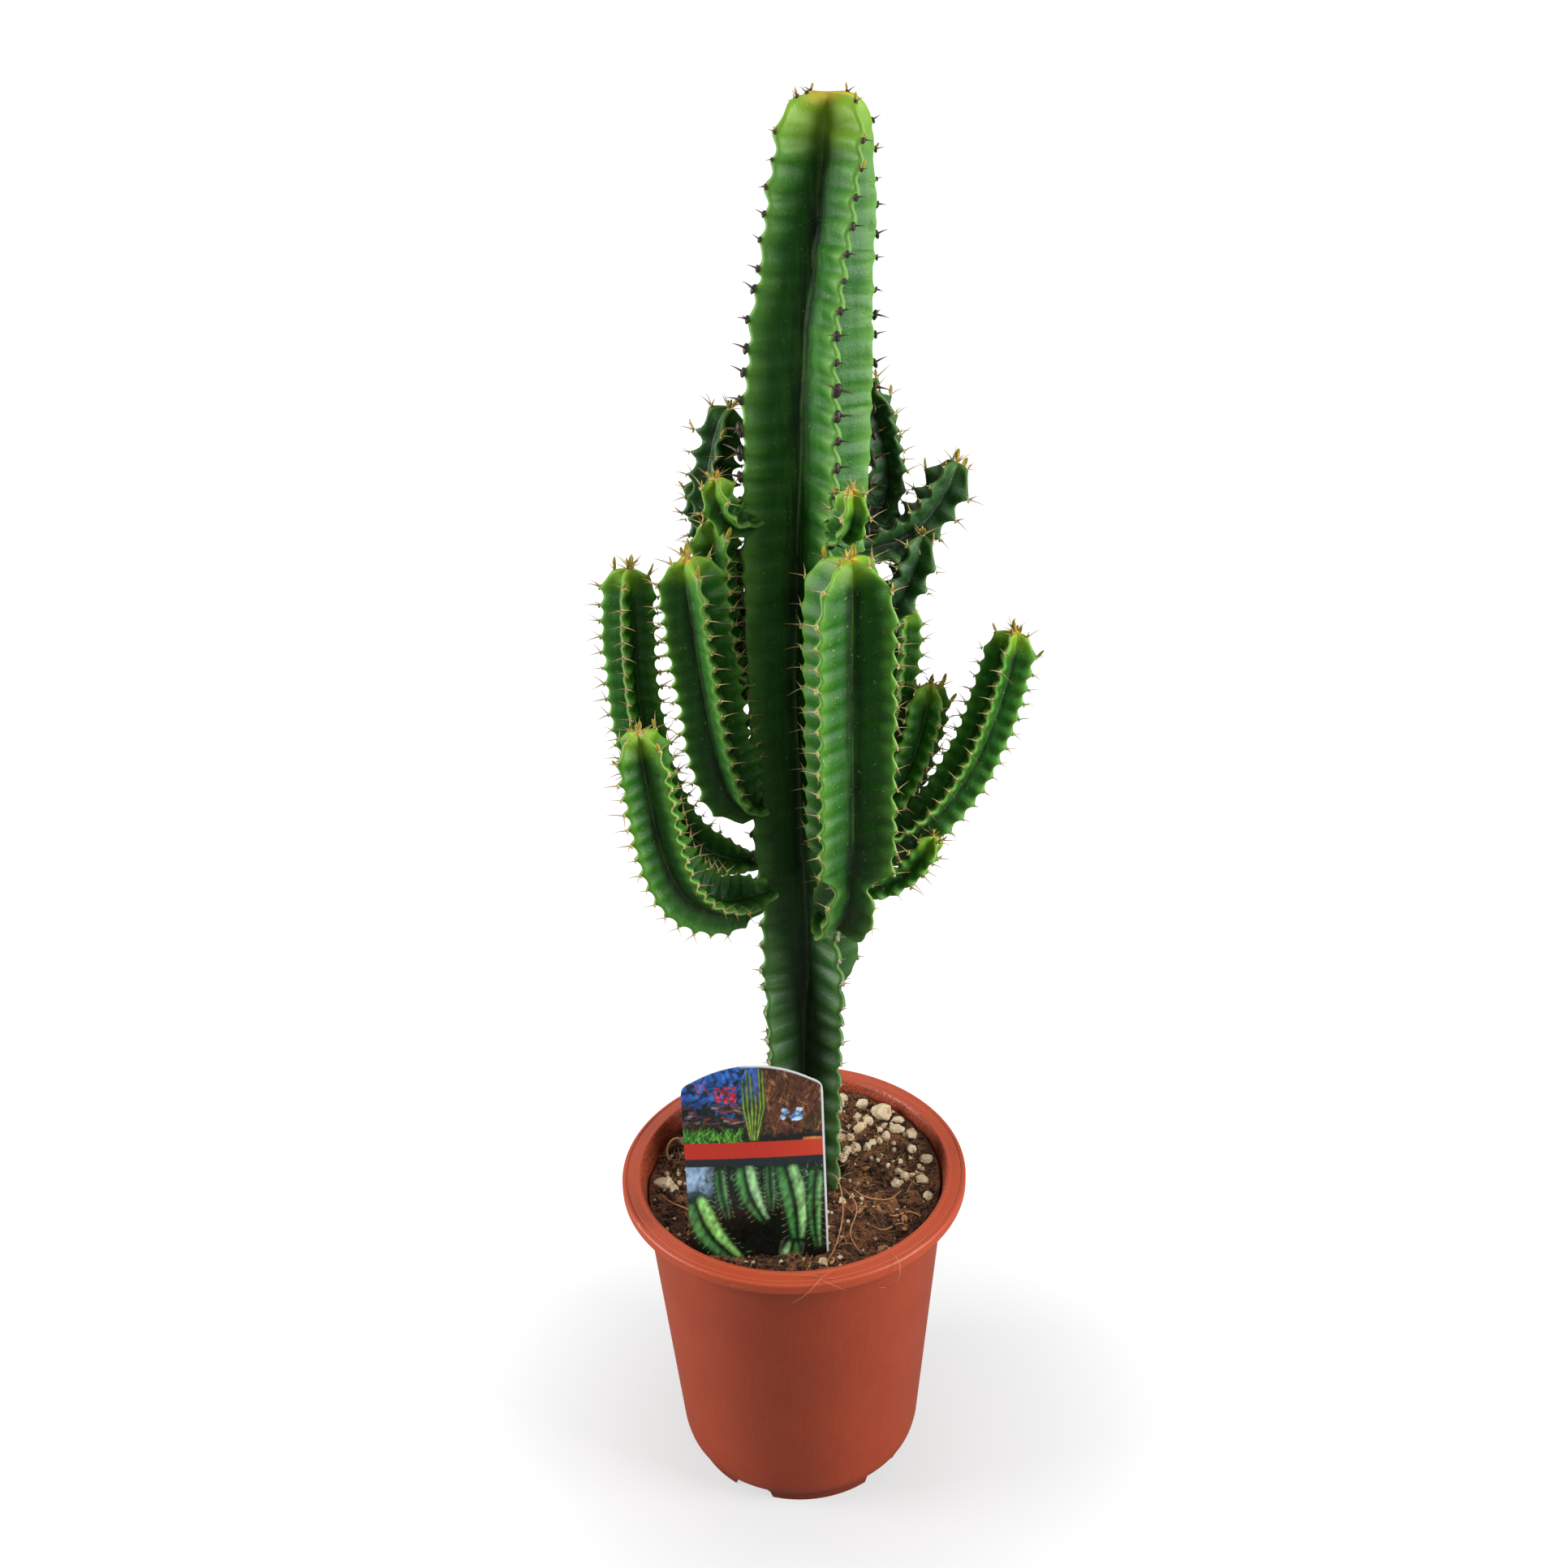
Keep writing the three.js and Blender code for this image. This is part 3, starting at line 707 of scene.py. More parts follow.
# %% Grow helper
def grown(name, tree, start, values):
    """Runs a geometry tree on a mesh and gives back a plain object with the result."""
    obj = linked(name, start)
    modifier = obj.modifiers.new("grow", "NODES")
    modifier.node_group = tree
    for item in tree.interface.items_tree:
        if item.item_type == "SOCKET" and item.in_out == "INPUT" and item.name in values:
            modifier[item.identifier] = values[item.name]
    graph = bpy.context.evaluated_depsgraph_get()
    result = bpy.data.meshes.new_from_object(
        obj.evaluated_get(graph), preserve_all_data_layers=True, depsgraph=graph)
    obj.modifiers.remove(modifier)
    obj.data = result
    result.name = name
    cover(result, values["Finish"])
    print(f"{name}: {triangles(result)} triangles")
    return obj


def chain(tree, geometry, kind, inputs=None, **settings):
    """Adds a node that takes a geometry in its first socket and gives one out."""
    return put(tree, kind, {0: geometry, **(inputs or {})}, **settings)


def random_number(tree, low, high, seed):
    return put(tree, "FunctionNodeRandomValue", {"Min": low, "Max": high, "Seed": seed},
               data_type="FLOAT")


def random_vector(tree, low, high, seed):
    return put(tree, "FunctionNodeRandomValue", {"Min": low, "Max": high, "Seed": seed},
               data_type="FLOAT_VECTOR")


print("grow helpers ready")


# %% [markdown]
# The tree picks random places on a disc above the pot, and lets a ray fall from each onto the soil.
# The square root of the random number spreads the places evenly over the disc. A switch chooses
# between a ball for crumbs, chips and stones and a thin strand for fibres.

# %% Litter tree
DROP_FROM = 0.3  # height in metres from which the rays fall
litter, given, result = new_group(
    "Soil litter", "GeometryNodeTree",
    {"Ground": ("Geometry", None), "Count": ("Int", 1000), "Middle": ("Vector", (0, 0, 0)),
     "Reach": ("Float", 0.07), "Smallest": ("Float", 0.0005), "Largest": ("Float", 0.002),
     "Flatness": ("Float", 0.7), "Length": ("Float", 1.0), "Warp": ("Float", 0.0006),
     "Sink": ("Float", 0.0), "Fibre": ("Bool", False), "Turn": ("Float", TAU),
     "Lean": ("Float", 0.5), "Seed": ("Int", 1), "Finish": ("Material", None)},
    {"Litter": "Geometry"})
angle = random_number(litter, 0.0, TAU, given["Seed"])
distance = random_number(litter, 0.0, 1.0, given["Seed"] + 1).math("SQRT") * given["Reach"]
spot = xyz(litter, distance * angle.math("COSINE"), distance * angle.math("SINE"), DROP_FROM)
spot = vector_math("ADD", spot, given["Middle"])
points = put(litter, "GeometryNodePoints", {"Count": given["Count"], "Position": spot})
drop = litter.nodes.new("GeometryNodeRaycast")
drop.data_type = "FLOAT"
connect(given["Ground"], drop.inputs["Target Geometry"])
connect((0, 0, -1), drop.inputs["Ray Direction"])
connect(1.0, drop.inputs["Ray Length"])
ground = Wire(litter, drop.outputs["Hit Position"])
points = chain(litter, points, "GeometryNodeSetPosition",
               {"Position": vector_math("SUBTRACT", ground, xyz(litter, 0.0, 0.0, given["Sink"]))})
crumb = put(litter, "GeometryNodeMeshIcoSphere", {"Radius": 0.5, "Subdivisions": 2}, output="Mesh")
line = put(litter, "GeometryNodeCurvePrimitiveLine", {"Start": (-0.5, 0, 0), "End": (0.5, 0, 0)})
line = chain(litter, line, "GeometryNodeResampleCurve", {"Count": 9})
section = put(litter, "GeometryNodeCurvePrimitiveCircle", {"Resolution": 3, "Radius": 0.5},
              output="Curve")
strand = chain(litter, line, "GeometryNodeCurveToMesh", {1: section, "Fill Caps": True})
shape = put(litter, "GeometryNodeSwitch", {0: given["Fibre"], 1: crumb, 2: strand},
            input_type="GEOMETRY")
share = random_number(litter, 0.0, 1.0, given["Seed"] + 2) ** 2
size = blended(share, given["Smallest"], given["Largest"])
tilt = random_vector(litter, (-1, -1, -1), (1, 1, 1), given["Seed"] + 3)
tilt = vector_math("MULTIPLY", tilt, xyz(litter, given["Lean"], given["Lean"], given["Turn"]))
stretch = blended(random_number(litter, 0.0, 1.0, given["Seed"] + 4), 0.5, 1.0) * given["Length"]
turned_way = put(litter, "FunctionNodeEulerToRotation", {0: tilt})
pieces = chain(litter, points, "GeometryNodeInstanceOnPoints",
               {"Instance": shape, "Rotation": turned_way,
                "Scale": xyz(litter, size * stretch, size, size * given["Flatness"])})
pieces = chain(litter, pieces, "GeometryNodeRealizeInstances")
here = put(litter, "GeometryNodeInputPosition")
noise_scale = put(litter, "GeometryNodeSwitch", {0: given["Fibre"], 1: 900.0, 2: 90.0},
                  input_type="FLOAT")
push = put(litter, "ShaderNodeTexNoise", {"Vector": here, "Scale": noise_scale, "Detail": 1.0},
           output="Color")
push = vector_math("SUBTRACT", push, (0.5, 0.5, 0.5))
pieces = chain(litter, pieces, "GeometryNodeSetPosition",
               {"Offset": vector_math("SCALE", push, scale=given["Warp"])})
pieces = chain(litter, pieces, "GeometryNodeSetMaterial", {"Material": given["Finish"]})
connect(pieces, result.inputs["Litter"])
print("Litter nodes:", len(litter.nodes))

# %% [markdown]
# Coir is the fibre of coconut husks, straw to rust in colour. Pumice is a froth of volcanic glass:
# pale, quite matt and full of pores. Its pits are pressed into the surface, and they are painted
# darker as painted shade in the pores. The darkest crumbs are wet peat.

# %% Litter finishes
straw = plain_finish(
    "coir_fibre", 0.8, (120.0, (136, 78, 40), (218, 166, 108), 2.6), (3000.0, 0.0001))

stonedust, tree, shader = new_finish("pumice", 0.95)
place = object_place(tree)
pale = mottled(tree, place, 210.0, (232, 216, 182), (190, 164, 124), 1.7)
pores = put(tree, "ShaderNodeTexVoronoi", {"Vector": place, "Scale": 1300.0}, output="Distance")
hollow = ramp(pores, 0.10, 0.34, 1, 0) * ramp(noise_value(tree, place, 500.0), 0.46, 0.58)
# painted shade: the pores are coloured darker where they sink in
pale = mixed(hollow * 0.75, pale, colour(104, 78, 52))
dirt = ramp(noise_value(tree, place, 150.0, 4.0, 0.7), 0.54, 0.70, 0, 0.55)
pale = mixed(dirt, pale, colour(120, 84, 54))
connect(pale, shader.inputs["Base Color"])
pitted = put(tree, "ShaderNodeBump", {"Strength": 1.0, "Distance": 0.0005, "Height": 1 - hollow})
grained(tree, shader, place, 1500.0, 0.0004, Normal=pitted)
print("litter finishes: coir, dark peat, pumice")


dark_peat = plain_finish(
    "dark_peat", 0.95, (300.0, (20, 12, 8), (60, 36, 24), 2.4), (1200.0, 0.0005))

# %% [markdown]
# Fine crumbs and fibres cover the whole soil. The larger pebbles lie in three heaps, most of them
# behind the stem, the way they gather when a pot is topped up and watered. Every kind has a seed
# of its own, so that no two kinds land in the same places.

# %% Scatter the litter
# sizes in metres; a negative sink lifts the pieces
LITTER = {
    "peat_crumbs": (peat, "potting_mix", {
        "Count": 1900, "Reach": 0.0715, "Smallest": 0.0007, "Largest": 0.0038, "Flatness": 0.7,
        "Warp": 0.0012, "Sink": 0.0001, "Seed": 11}),
    "coir_fibres": (straw, "potting_mix", {
        "Count": 1500, "Reach": 0.067, "Smallest": 0.00012, "Largest": 0.00027, "Flatness": 1.0,
        "Length": 60.0, "Warp": 0.0062, "Sink": -0.0008, "Fibre": True, "Lean": 0.16, "Seed": 23}),
    "bark_chips": (straw, "potting_mix", {
        "Count": 46, "Reach": 0.066, "Smallest": 0.0015, "Largest": 0.0034, "Flatness": 0.3,
        "Length": 3.0, "Warp": 0.0016, "Sink": -0.0006, "Lean": 0.35, "Seed": 37}),
    "dark_crumbs": (dark_peat, "potting_mix", {
        "Count": 1500, "Reach": 0.0710, "Smallest": 0.0007, "Largest": 0.0030, "Flatness": 0.8,
        "Warp": 0.0016, "Sink": -0.0006, "Seed": 17}),
}
# side: middle from the pot's axis in mm, reach, count
HEAPS = {"back": (32, 34, 0.023, 36), "right": (55, 6, 0.014, 12), "left": (-57, 8, 0.011, 9)}
for side, (x, y, reach, count) in HEAPS.items():
    LITTER["pumice_pebbles_" + side] = (stonedust, "pumice", {
        "Middle": tuple(POT_AXIS + Vector((x, y, 0)) * MM), "Count": count, "Reach": reach,
        "Smallest": 0.0024, "Largest": 0.0072, "Flatness": 0.85, "Warp": 0.0030, "Sink": -0.0008,
        "Lean": 2.0, "Seed": 71})
LITTER["pumice_grit"] = (stonedust, "pumice", {
    "Count": 240, "Reach": 0.0705, "Smallest": 0.0009, "Largest": 0.0030, "Flatness": 0.85,
    "Warp": 0.0010, "Sink": -0.0004, "Seed": 53})
for name, (finish, slot_name, values) in LITTER.items():
    values = {"Middle": tuple(POT_AXIS), "Finish": finish, **values}
    piece = grown(name, litter, soil.data.copy(), values)
    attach(piece, "root")
print("kinds of litter:", len(LITTER))

# %% [markdown]
# A few roots and hairs are long enough to be seen one by one: a pale root curled up on the soil,
# some that run across it, and hairs that hang over the rim of the pot. Each is a smooth thread
# through a handful of listed points, because no rule says where a stray root lies.

# %% Stray roots and hairs
THREAD_STEPS = 8  # steps between one written point and the next


def thread(points, thickness, sides=6):
    """A closed tube that tapers to both ends, through points given in mm from the pot's axis."""
    spots = [Vector((x, y, z)) * MM for x, y, z in points]
    spots = [spots[0] * 2 - spots[1]] + spots + [spots[-1] * 2 - spots[-2]]
    path = []
    for a, b, c, d in zip(spots, spots[1:], spots[2:], spots[3:]):
        for step in range(THREAD_STEPS):
            t = step / THREAD_STEPS
            path.append(0.5 * (2 * b + (c - a) * t + (2 * a - 5 * b + 4 * c - d) * t * t
                               + (3 * b - a - 3 * c + d) * t ** 3))
    loops = []
    for k, spot in enumerate(path[1:-1], 1):
        ahead = (path[k + 1] - path[k - 1]).normalized()
        across = ahead.cross(Vector((0.31, 0.17, 0.94))).normalized()
        over = ahead.cross(across)
        width = thickness * MM * (0.35 + 0.65 * math.sin(math.pi * k / len(path)))
        turns = [TAU * n / sides for n in range(sides)]
        loops.append([spot + across * width * math.cos(a) + over * width * math.sin(a) for a in turns])
    return outward(lofted("thread", loops, path[0], path[-1], POT_AXIS))


def on_soil(lift, *places):
    """Points at places on the soil, lifted by so many mm."""
    return [(x, y, soil_height(x * MM, y * MM) / MM + lift) for x, y in places]


ring = [(-59 + 5.5 * math.cos(a), 24 + 5.0 * math.sin(a), 160 + 4.5 * math.sin(a)) for a in
        [0.5 + k * 0.7 for k in range(9)]]
ROOTS = [
    (ring, 0.75), (on_soil(1.6, (-66, -8), (-60, -14), (-52, -20), (-46, -27), (-38, -33)), 0.5),
    (on_soil(1.3, (39, -24), (47, -30), (55, -27), (62, -31)), 0.6),
    (on_soil(1.2, (34, -34), (42, -38), (50, -35), (55, -38)), 0.45),
    (on_soil(1.6, (28, -8), (35, -16), (46, -18), (54, -12)), 0.4),
    (on_soil(2.0, (20, -2), (30, -22), (26, -42), (32, -58)), 0.32),
    ([(14, -2, 166), (21, -16, 172), (23, -34, 168), (19, -52, 163), (12, -66, 160)], 0.3)]
HAIRS = [
    ([(24, -60, 160), (18, -72, 165), (12, -82, 170.5), (4, -86.2, 164), (-4, -83, 155)], 0.13),
    ([(2, -66, 160), (6, -76, 167), (14, -84.5, 168.6), (24, -84.6, 163)], 0.12),
    ([(38, -56, 161), (44, -66, 168), (47, -74, 168.8), (46, -75.6, 160), (41, -73.5, 155),
      (37, -77, 158)], 0.16),
    ([(-30, -68, 160), (-12, -76, 165), (6, -80, 169.2), (22, -83, 168.4)], 0.11)]
stray_finish = plain_finish(
    "pale_root", 0.7, (160.0, (206, 160, 112), (160, 92, 52), 2.0), (2200.0, 0.0001))


stray = joined("stray_roots", [thread(points, thickness) for points, thickness in ROOTS + HAIRS])
cover(stray.data, stray_finish)
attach(stray, "root")
print("roots and hairs:", len(ROOTS) + len(HAIRS))

# %% [markdown]
# ## Pumice stones
# The stones big enough to pick up are separate nodes in the CAD. Each gets its own mesh here: a
# fine ball squeezed into the CAD stone's box, knocked into blunt facets by a few large noise steps
# and pitted by small ones. Working it out in code keeps every stone different and inside its box.

# %% Stones
FACETS = 13


def stone(name, low, high, seed):
    work = bmesh.new()
    bmesh.ops.create_icosphere(work, subdivisions=5, radius=1)
    middle, half_size = (low + high) / 2, (high - low) / 2
    offset = Vector((seed * 3.7, seed * 1.9, seed * 5.3))
    facets = [noise.random_unit_vector() for _ in range(FACETS)]
    for vert in work.verts:
        way = vert.co.normalized()
        cut = min(0.72 / max(way.dot(f), 1e-3) for f in facets)
        reach = min(1.0, cut) * 0.85 + 0.15 * min(1.0, cut ** 0.5)
        reach += 0.10 * noise.noise(way * 1.7 + offset) + 0.035 * noise.noise(way * 6 + offset)
        pit = noise.noise(way * 13 + offset)
        reach -= 0.05 * max(0.0, pit - 0.25)
        vert.co = way * reach
    largest = [max(abs(v.co[i]) for v in work.verts) for i in range(3)]
    for vert in work.verts:
        vert.co = Vector([middle[i] + vert.co[i] / largest[i] * half_size[i] for i in range(3)])
    mesh = bpy.data.meshes.new(name)
    work.to_mesh(mesh)
    work.free()
    mesh.polygons.foreach_set("use_smooth", [True] * len(mesh.polygons))
    return linked(name, mesh)


noise.seed_set(7)
stone_nodes = sorted((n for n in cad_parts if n.startswith("pumice_stone")),
                     key=lambda n: int(n.split("_")[-1]))
for number, node in enumerate(stone_nodes, 1):
    low, high = (Vector(corner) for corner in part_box(node))
    piece = stone(f"pumice_{number}", low, high, number)
    cover(piece.data, stonedust)
    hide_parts(node)
    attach(piece, "root")
print("stones:", len(stone_nodes))

# %% [markdown]
# ## Ribbed stems
# The main stem and the arms are one kind of thing: a path with a four-ribbed section swept along
# it. The crest of each rib swells to a tooth every centimetre or so and dips between, the walls
# ripple with the teeth, and the tip closes over in a blunt crown. That is a rule, so one Geometry
# Nodes tree makes all seventeen stems from a path, and the sizes are its inputs. Curve to Mesh
# builds a plain tube first. Every point of it knows how far round and how far along it is, and from
# those two numbers its final place is worked out.

# %% Crest shape shared by the skin and the spines
def tooth_phase(factor, teeth, crowding, rib):
    """Runs from 0 to 1 between one tooth and the next. Teeth crowd together towards the tip."""
    shifted = (factor.math("MAXIMUM", 0.0001) ** crowding) * teeth - 0.5 - rib * 0.37
    return shifted.math("FRACT")


def crown_shape(from_tip, crown, bluntness):
    """How much the ribs have closed, and how far a ring moves on, over the last stretch."""
    q = clamped(1 - from_tip / crown)
    closing = (q * (math.pi / 2)).math("COSINE").math("MAXIMUM", 0.0004) ** bluntness
    onward = ((q * (math.pi / 2)).math("SINE") - q) * crown
    return q, closing, onward


STEM_INPUTS = {
    "Path": ("Geometry", None), "Across": ("Vector", (0, 1, 0)), "Teeth": ("Int", 20),
    "Crowding": ("Float", 1.1), "Crown": ("Float", 0.01), "Bluntness": ("Float", 0.6)}


def end_tree(tree, geometry, result, finish):
    """Every tree ends alike: smooth shading, real geometry and one material."""
    geometry = chain(tree, geometry, "GeometryNodeSetShadeSmooth", {"Shade Smooth": True})
    geometry = chain(tree, geometry, "GeometryNodeRealizeInstances")
    geometry = chain(tree, geometry, "GeometryNodeSetMaterial", {"Material": finish})
    connect(geometry, result.inputs[0])
    print(tree.name, "nodes:", len(tree.nodes))


def captured(tree, geometry, fields):
    """Stores fields on the points of a geometry, so that they are still there after it changes."""
    node = tree.nodes.new("GeometryNodeCaptureAttribute")
    node.domain = "POINT"
    connect(geometry, node.inputs[0])
    for name, (kind, wire) in fields.items():
        node.capture_items.new(kind, name)
        connect(wire, node.inputs[name])
    return Wire(tree, node.outputs[0]), {name: Wire(tree, node.outputs[name]) for name in fields}


def named(tree, name, kind="FLOAT"):
    return put(tree, "GeometryNodeInputNamedAttribute", {"Name": name}, output="Attribute",
               data_type=kind)


print("inputs that all stem trees share:", ", ".join(STEM_INPUTS))

# %% [markdown]
# The section is worked out from two numbers at each point of the tube: its share of the way from a
# crest to the next valley, and its distance along the stem. The crest is a narrow rounded edge, the
# flank falls steeply to the valley, and the teeth, creases and sway are added on top. The tree also
# leaves its numbers on the points, for the colours.

# %% Skin tree
ROUND = 0.26  # share of the way from crest to valley that is the crest's rounded edge
DIAGONAL = 0.7071  # the valley lies on the diagonal between two ribs
skin, given, result = new_group(
    "Ribbed stem", "GeometryNodeTree",
    {**STEM_INPUTS, "Rings": ("Int", 200), "Around": ("Int", 96), "Valley": ("Float", 0.23),
     "Crest width": ("Float", 0.005), "Tooth depth": ("Float", 0.1), "Ripple": ("Float", 0.001),
     "Sway": ("Float", 0.0005), "Grain": ("Float", 0.0003), "Tip reach": ("Float", 0.03),
     "Finish": ("Material", None)},
    {"Skin": "Geometry"})


path = chain(skin, given["Path"], "GeometryNodeMeshToCurve")
path = chain(skin, path, "GeometryNodeResampleCurve", {"Count": given["Rings"]})
run = skin.nodes.new("GeometryNodeSplineParameter")
whole = put(skin, "GeometryNodeSplineLength")
path, at = captured(skin, path, {
    "centre": ("VECTOR", put(skin, "GeometryNodeInputPosition")),
    "tangent": ("VECTOR", put(skin, "GeometryNodeInputTangent")),
    "factor": ("FLOAT", Wire(skin, run.outputs["Factor"])),
    "from_tip": ("FLOAT", whole - Wire(skin, run.outputs["Length"])),
    "radius": ("FLOAT", named(skin, "rib_radius")),
    "first_rib": ("FLOAT", named(skin, "first_rib"))})
circle = put(skin, "GeometryNodeCurvePrimitiveCircle", {"Resolution": given["Around"], "Radius": 0.002},
             output="Curve")
turn = skin.nodes.new("GeometryNodeSplineParameter")
circle, round_it = captured(skin, circle, {"share": ("FLOAT", Wire(skin, turn.outputs["Factor"]))})
tube = chain(skin, path, "GeometryNodeCurveToMesh", {1: circle, "Fill Caps": True})

quarter = round_it["share"] * 4
rib = (quarter + 0.0001).math("FLOOR")
within = quarter - rib
valleyness = abs(within * 2 - 1)
side = ((within - 0.5) * 1000).math("MAXIMUM", -1).math("MINIMUM", 1)
phase = tooth_phase(at["factor"], given["Teeth"], given["Crowding"], rib)
dip = (0.5 - (phase * TAU).math("COSINE") * 0.5).math("MAXIMUM", 0.0) ** 0.4
uneven = noise_value(skin, vector_math("ADD", at["centre"], xyz(skin, rib * 0.31, 0.0, 0.0)),
                     55.0, 2.0)
q, closing, onward = crown_shape(at["from_tip"], given["Crown"], given["Bluntness"])
crest = at["radius"] * closing * (1 - given["Tooth depth"] * dip * (uneven * 1.5 + 0.25))
half_width = (given["Crest width"] * 0.5 * (1.25 - dip * 0.55)).math("MINIMUM", crest * 0.4)
valley = at["radius"] * closing * blended(q ** 4, given["Valley"], 0.9) * DIAGONAL

round_end = clamped(valleyness / ROUND) * (math.pi / 2)
along_rib = crest - half_width + half_width * round_end.math("COSINE")
off_rib = half_width * round_end.math("SINE")
flank = clamped((valleyness - ROUND) / (1 - ROUND))
bulge = flank.math("SQRT") * (1 - flank) ** 2 * 3.4
crease_place = vector_math("MULTIPLY", at["centre"], (90.0, 90.0, 330.0))
creases = noise_value(skin, vector_math("ADD", crease_place, xyz(skin, rib * 7.3, side * 3.1, 0.0)),
                      1.0, 1.0)
ripple = given["Ripple"] * bulge * closing * ((phase * TAU).math("COSINE") * 0.16 + uneven * 2.2
                                              + creases * 1.6 - 1.9)
along_rib = blended(flank, along_rib, valley)
off_rib = blended(flank ** 1.12, off_rib, valley) + ripple
sway = given["Sway"] * (1 - flank) * closing * ((phase + rib * 0.3) * TAU).math("SINE")
sideways = off_rib * side + sway
way = at["first_rib"] + rib * (math.pi / 2)
u = along_rib * way.math("COSINE") - sideways * way.math("SINE")
v = along_rib * way.math("SINE") + sideways * way.math("COSINE")
side_way = vector_math("NORMALIZE", vector_math("CROSS_PRODUCT", given["Across"], at["tangent"]))
sunk = onward - at["radius"] * 0.22 * valleyness * (q * math.pi).math("SINE")
spot = moved(moved(moved(at["centre"], side_way, u), given["Across"], v), at["tangent"], sunk)
tube = chain(skin, tube, "GeometryNodeSetPosition", {"Position": spot})
rough = noise_value(skin, put(skin, "GeometryNodeInputPosition"), 380.0, 3.0)
normal = put(skin, "GeometryNodeInputNormal", output=0)
tube = chain(skin, tube, "GeometryNodeSetPosition",
             {"Offset": vector_math("SCALE", normal, scale=(rough - 0.5) * given["Grain"])})
for label, field in (("rib", 1 - valleyness), ("tooth", 1 - dip),
                     ("tip", clamped(1 - at["from_tip"] / given["Tip reach"])),
                     ("base", at["factor"])):
    tube = chain(skin, tube, "GeometryNodeStoreNamedAttribute", {"Name": label, "Value": field},
                 domain="POINT", data_type="FLOAT")
end_tree(skin, tube, result, given["Finish"])

# %% [markdown]
# The skin is waxy and deep green. It is nearly black down in the valleys and lighter towards the
# crests, which is partly the plant's own colour and partly painted shade in the valleys and painted
# light on the crests, with a painted highlight along the bottom of each valley. The crest itself is a
# thin pale margin that turns brown and woody at the teeth. The youngest growth at a tip is
# yellow-green, and the very end is orange. All of that follows the stem, not the room, so it comes
# from the numbers that the tree left on the points.

# %% Skin finish
def stem_skin(name, foot_age_and_shade, valley_green, wall_green, crest_green, margin, woody, tip_green, bloom):
    material, tree, shader = new_finish(name, 0.42, IOR=1.38)
    place = object_place(tree)
    rib, tooth = surface_value(tree, "rib"), surface_value(tree, "tooth")
    tip = surface_value(tree, "tip")
    cloud = noise_value(tree, place, 70.0, 4.0)
    wavy_rib = rib + (cloud - 0.5) * 0.22
    # partly painted shade and light: near-black towards the valleys and lighter towards the crests
    skin_colour = mixed(ramp(wavy_rib, -0.04, 0.34), valley_green, wall_green)
    skin_colour = mixed(ramp(wavy_rib + tooth * 0.10, 0.45, 0.95), skin_colour, crest_green)
    # painted highlight: a thin pale line along the bottom of each valley
    valley_highlight = ramp(rib + (cloud - 0.5) * 0.01, 0.012, 0.03, 1, 0) * ramp(cloud, 0.3, 0.6)
    skin_colour = mixed(valley_highlight * 0.55, skin_colour, crest_green)
    streaks = noise_value(tree, vector_math("MULTIPLY", place, (420.0, 420.0, 34.0)), 1.0, 3.0)
    skin_colour = mixed(ramp(streaks, 0.38, 0.70, 0, 0.30), skin_colour,
                        mixed(cloud, wall_green, crest_green))
    flecks = ramp(noise_value(tree, place, 620.0, 2.0), 0.66, 0.74, 0, 0.5)
    skin_colour = mixed(flecks, skin_colour, margin)
    # darker towards the foot: partly the aged foot and partly painted shade cast by the arms above
    aged_and_shaded = ramp(surface_value(tree, "base") + (cloud - 0.5) * 0.1, 0.15, 0.66, foot_age_and_shade, 0)
    aged_and_shaded_green = mixed(ramp(rib, 0.2, 0.9), colour(16, 34, 16), colour(52, 84, 46))
    skin_colour = mixed(aged_and_shaded, skin_colour, aged_and_shaded_green)
    fresh = ramp(tip + (cloud - 0.5) * 0.5, 0.2, 1.0)
    skin_colour = mixed(fresh * 0.9, skin_colour, tip_green)
    skin_colour = mixed(ramp(tip + (cloud - 0.5) * 0.3, 0.84, 1.0) * 0.8, skin_colour, bloom)
    edge = ramp(rib + (streaks - 0.5) * 0.08, 0.94, 0.99) * (1 - fresh * 0.6)
    skin_colour = mixed(edge * 0.6, skin_colour, margin)
    knots = ramp(rib, 0.92, 0.98) * ramp(tooth + (cloud - 0.5) * 0.3, 0.62, 0.85)
    skin_colour = mixed(knots * 0.85, skin_colour, woody)
    connect(skin_colour, shader.inputs["Base Color"])
    connect(clamped(0.36 + edge * 0.25 + flecks * 0.2 + cloud * 0.14), shader.inputs["Roughness"])
    grained(tree, shader, place, 950.0, 0.00022)
    return material


# name: how aged and shaded the foot is (painted shade that reaches up under the arms), then valley,
# wall, crest, margin, woody teeth, tip and very end
SKINS = {
    "stem_skin": (0.8, (8, 28, 6), (37, 101, 25), (106, 162, 68), (136, 172, 92), (70, 52, 36),
                  (140, 180, 40), (190, 160, 30)),
    "arm_skin": (0.35, (8, 30, 6), (31, 96, 18), (92, 154, 46), (186, 190, 120), (196, 170, 108),
                 (134, 178, 34), (222, 172, 34)),
    # painted shade: the arms at the back get darker copies of the arm colours
    "shaded_arm_skin": (0.6, (10, 30, 10), (24, 66, 24), (58, 100, 44), (130, 140, 92), (120, 96, 60),
                        (64, 104, 36), (120, 120, 44)),
}
main_finish, arm_finish, shaded_finish = (
    stem_skin(name, foot_age_and_shade, *(colour(*shade) for shade in shades))
    for name, (foot_age_and_shade, *shades) in SKINS.items())
print("stem finishes:", ", ".join(SKINS))

# %% [markdown]
# The paths repeat the CAD's own table: each arm leaves the main stem level, sweeps out in an
# upright plane and bends up. A path is a mesh of points and edges, and its points carry the rib
# radius.

# %% Paths of the stems
STEM_FOOT, STEM_TOP = 140 * MM, 662 * MM
STEM_Y = 5 * MM
MAIN_STEPS, ARM_STEPS = 110, 60  # steps from the foot of a path to its tip
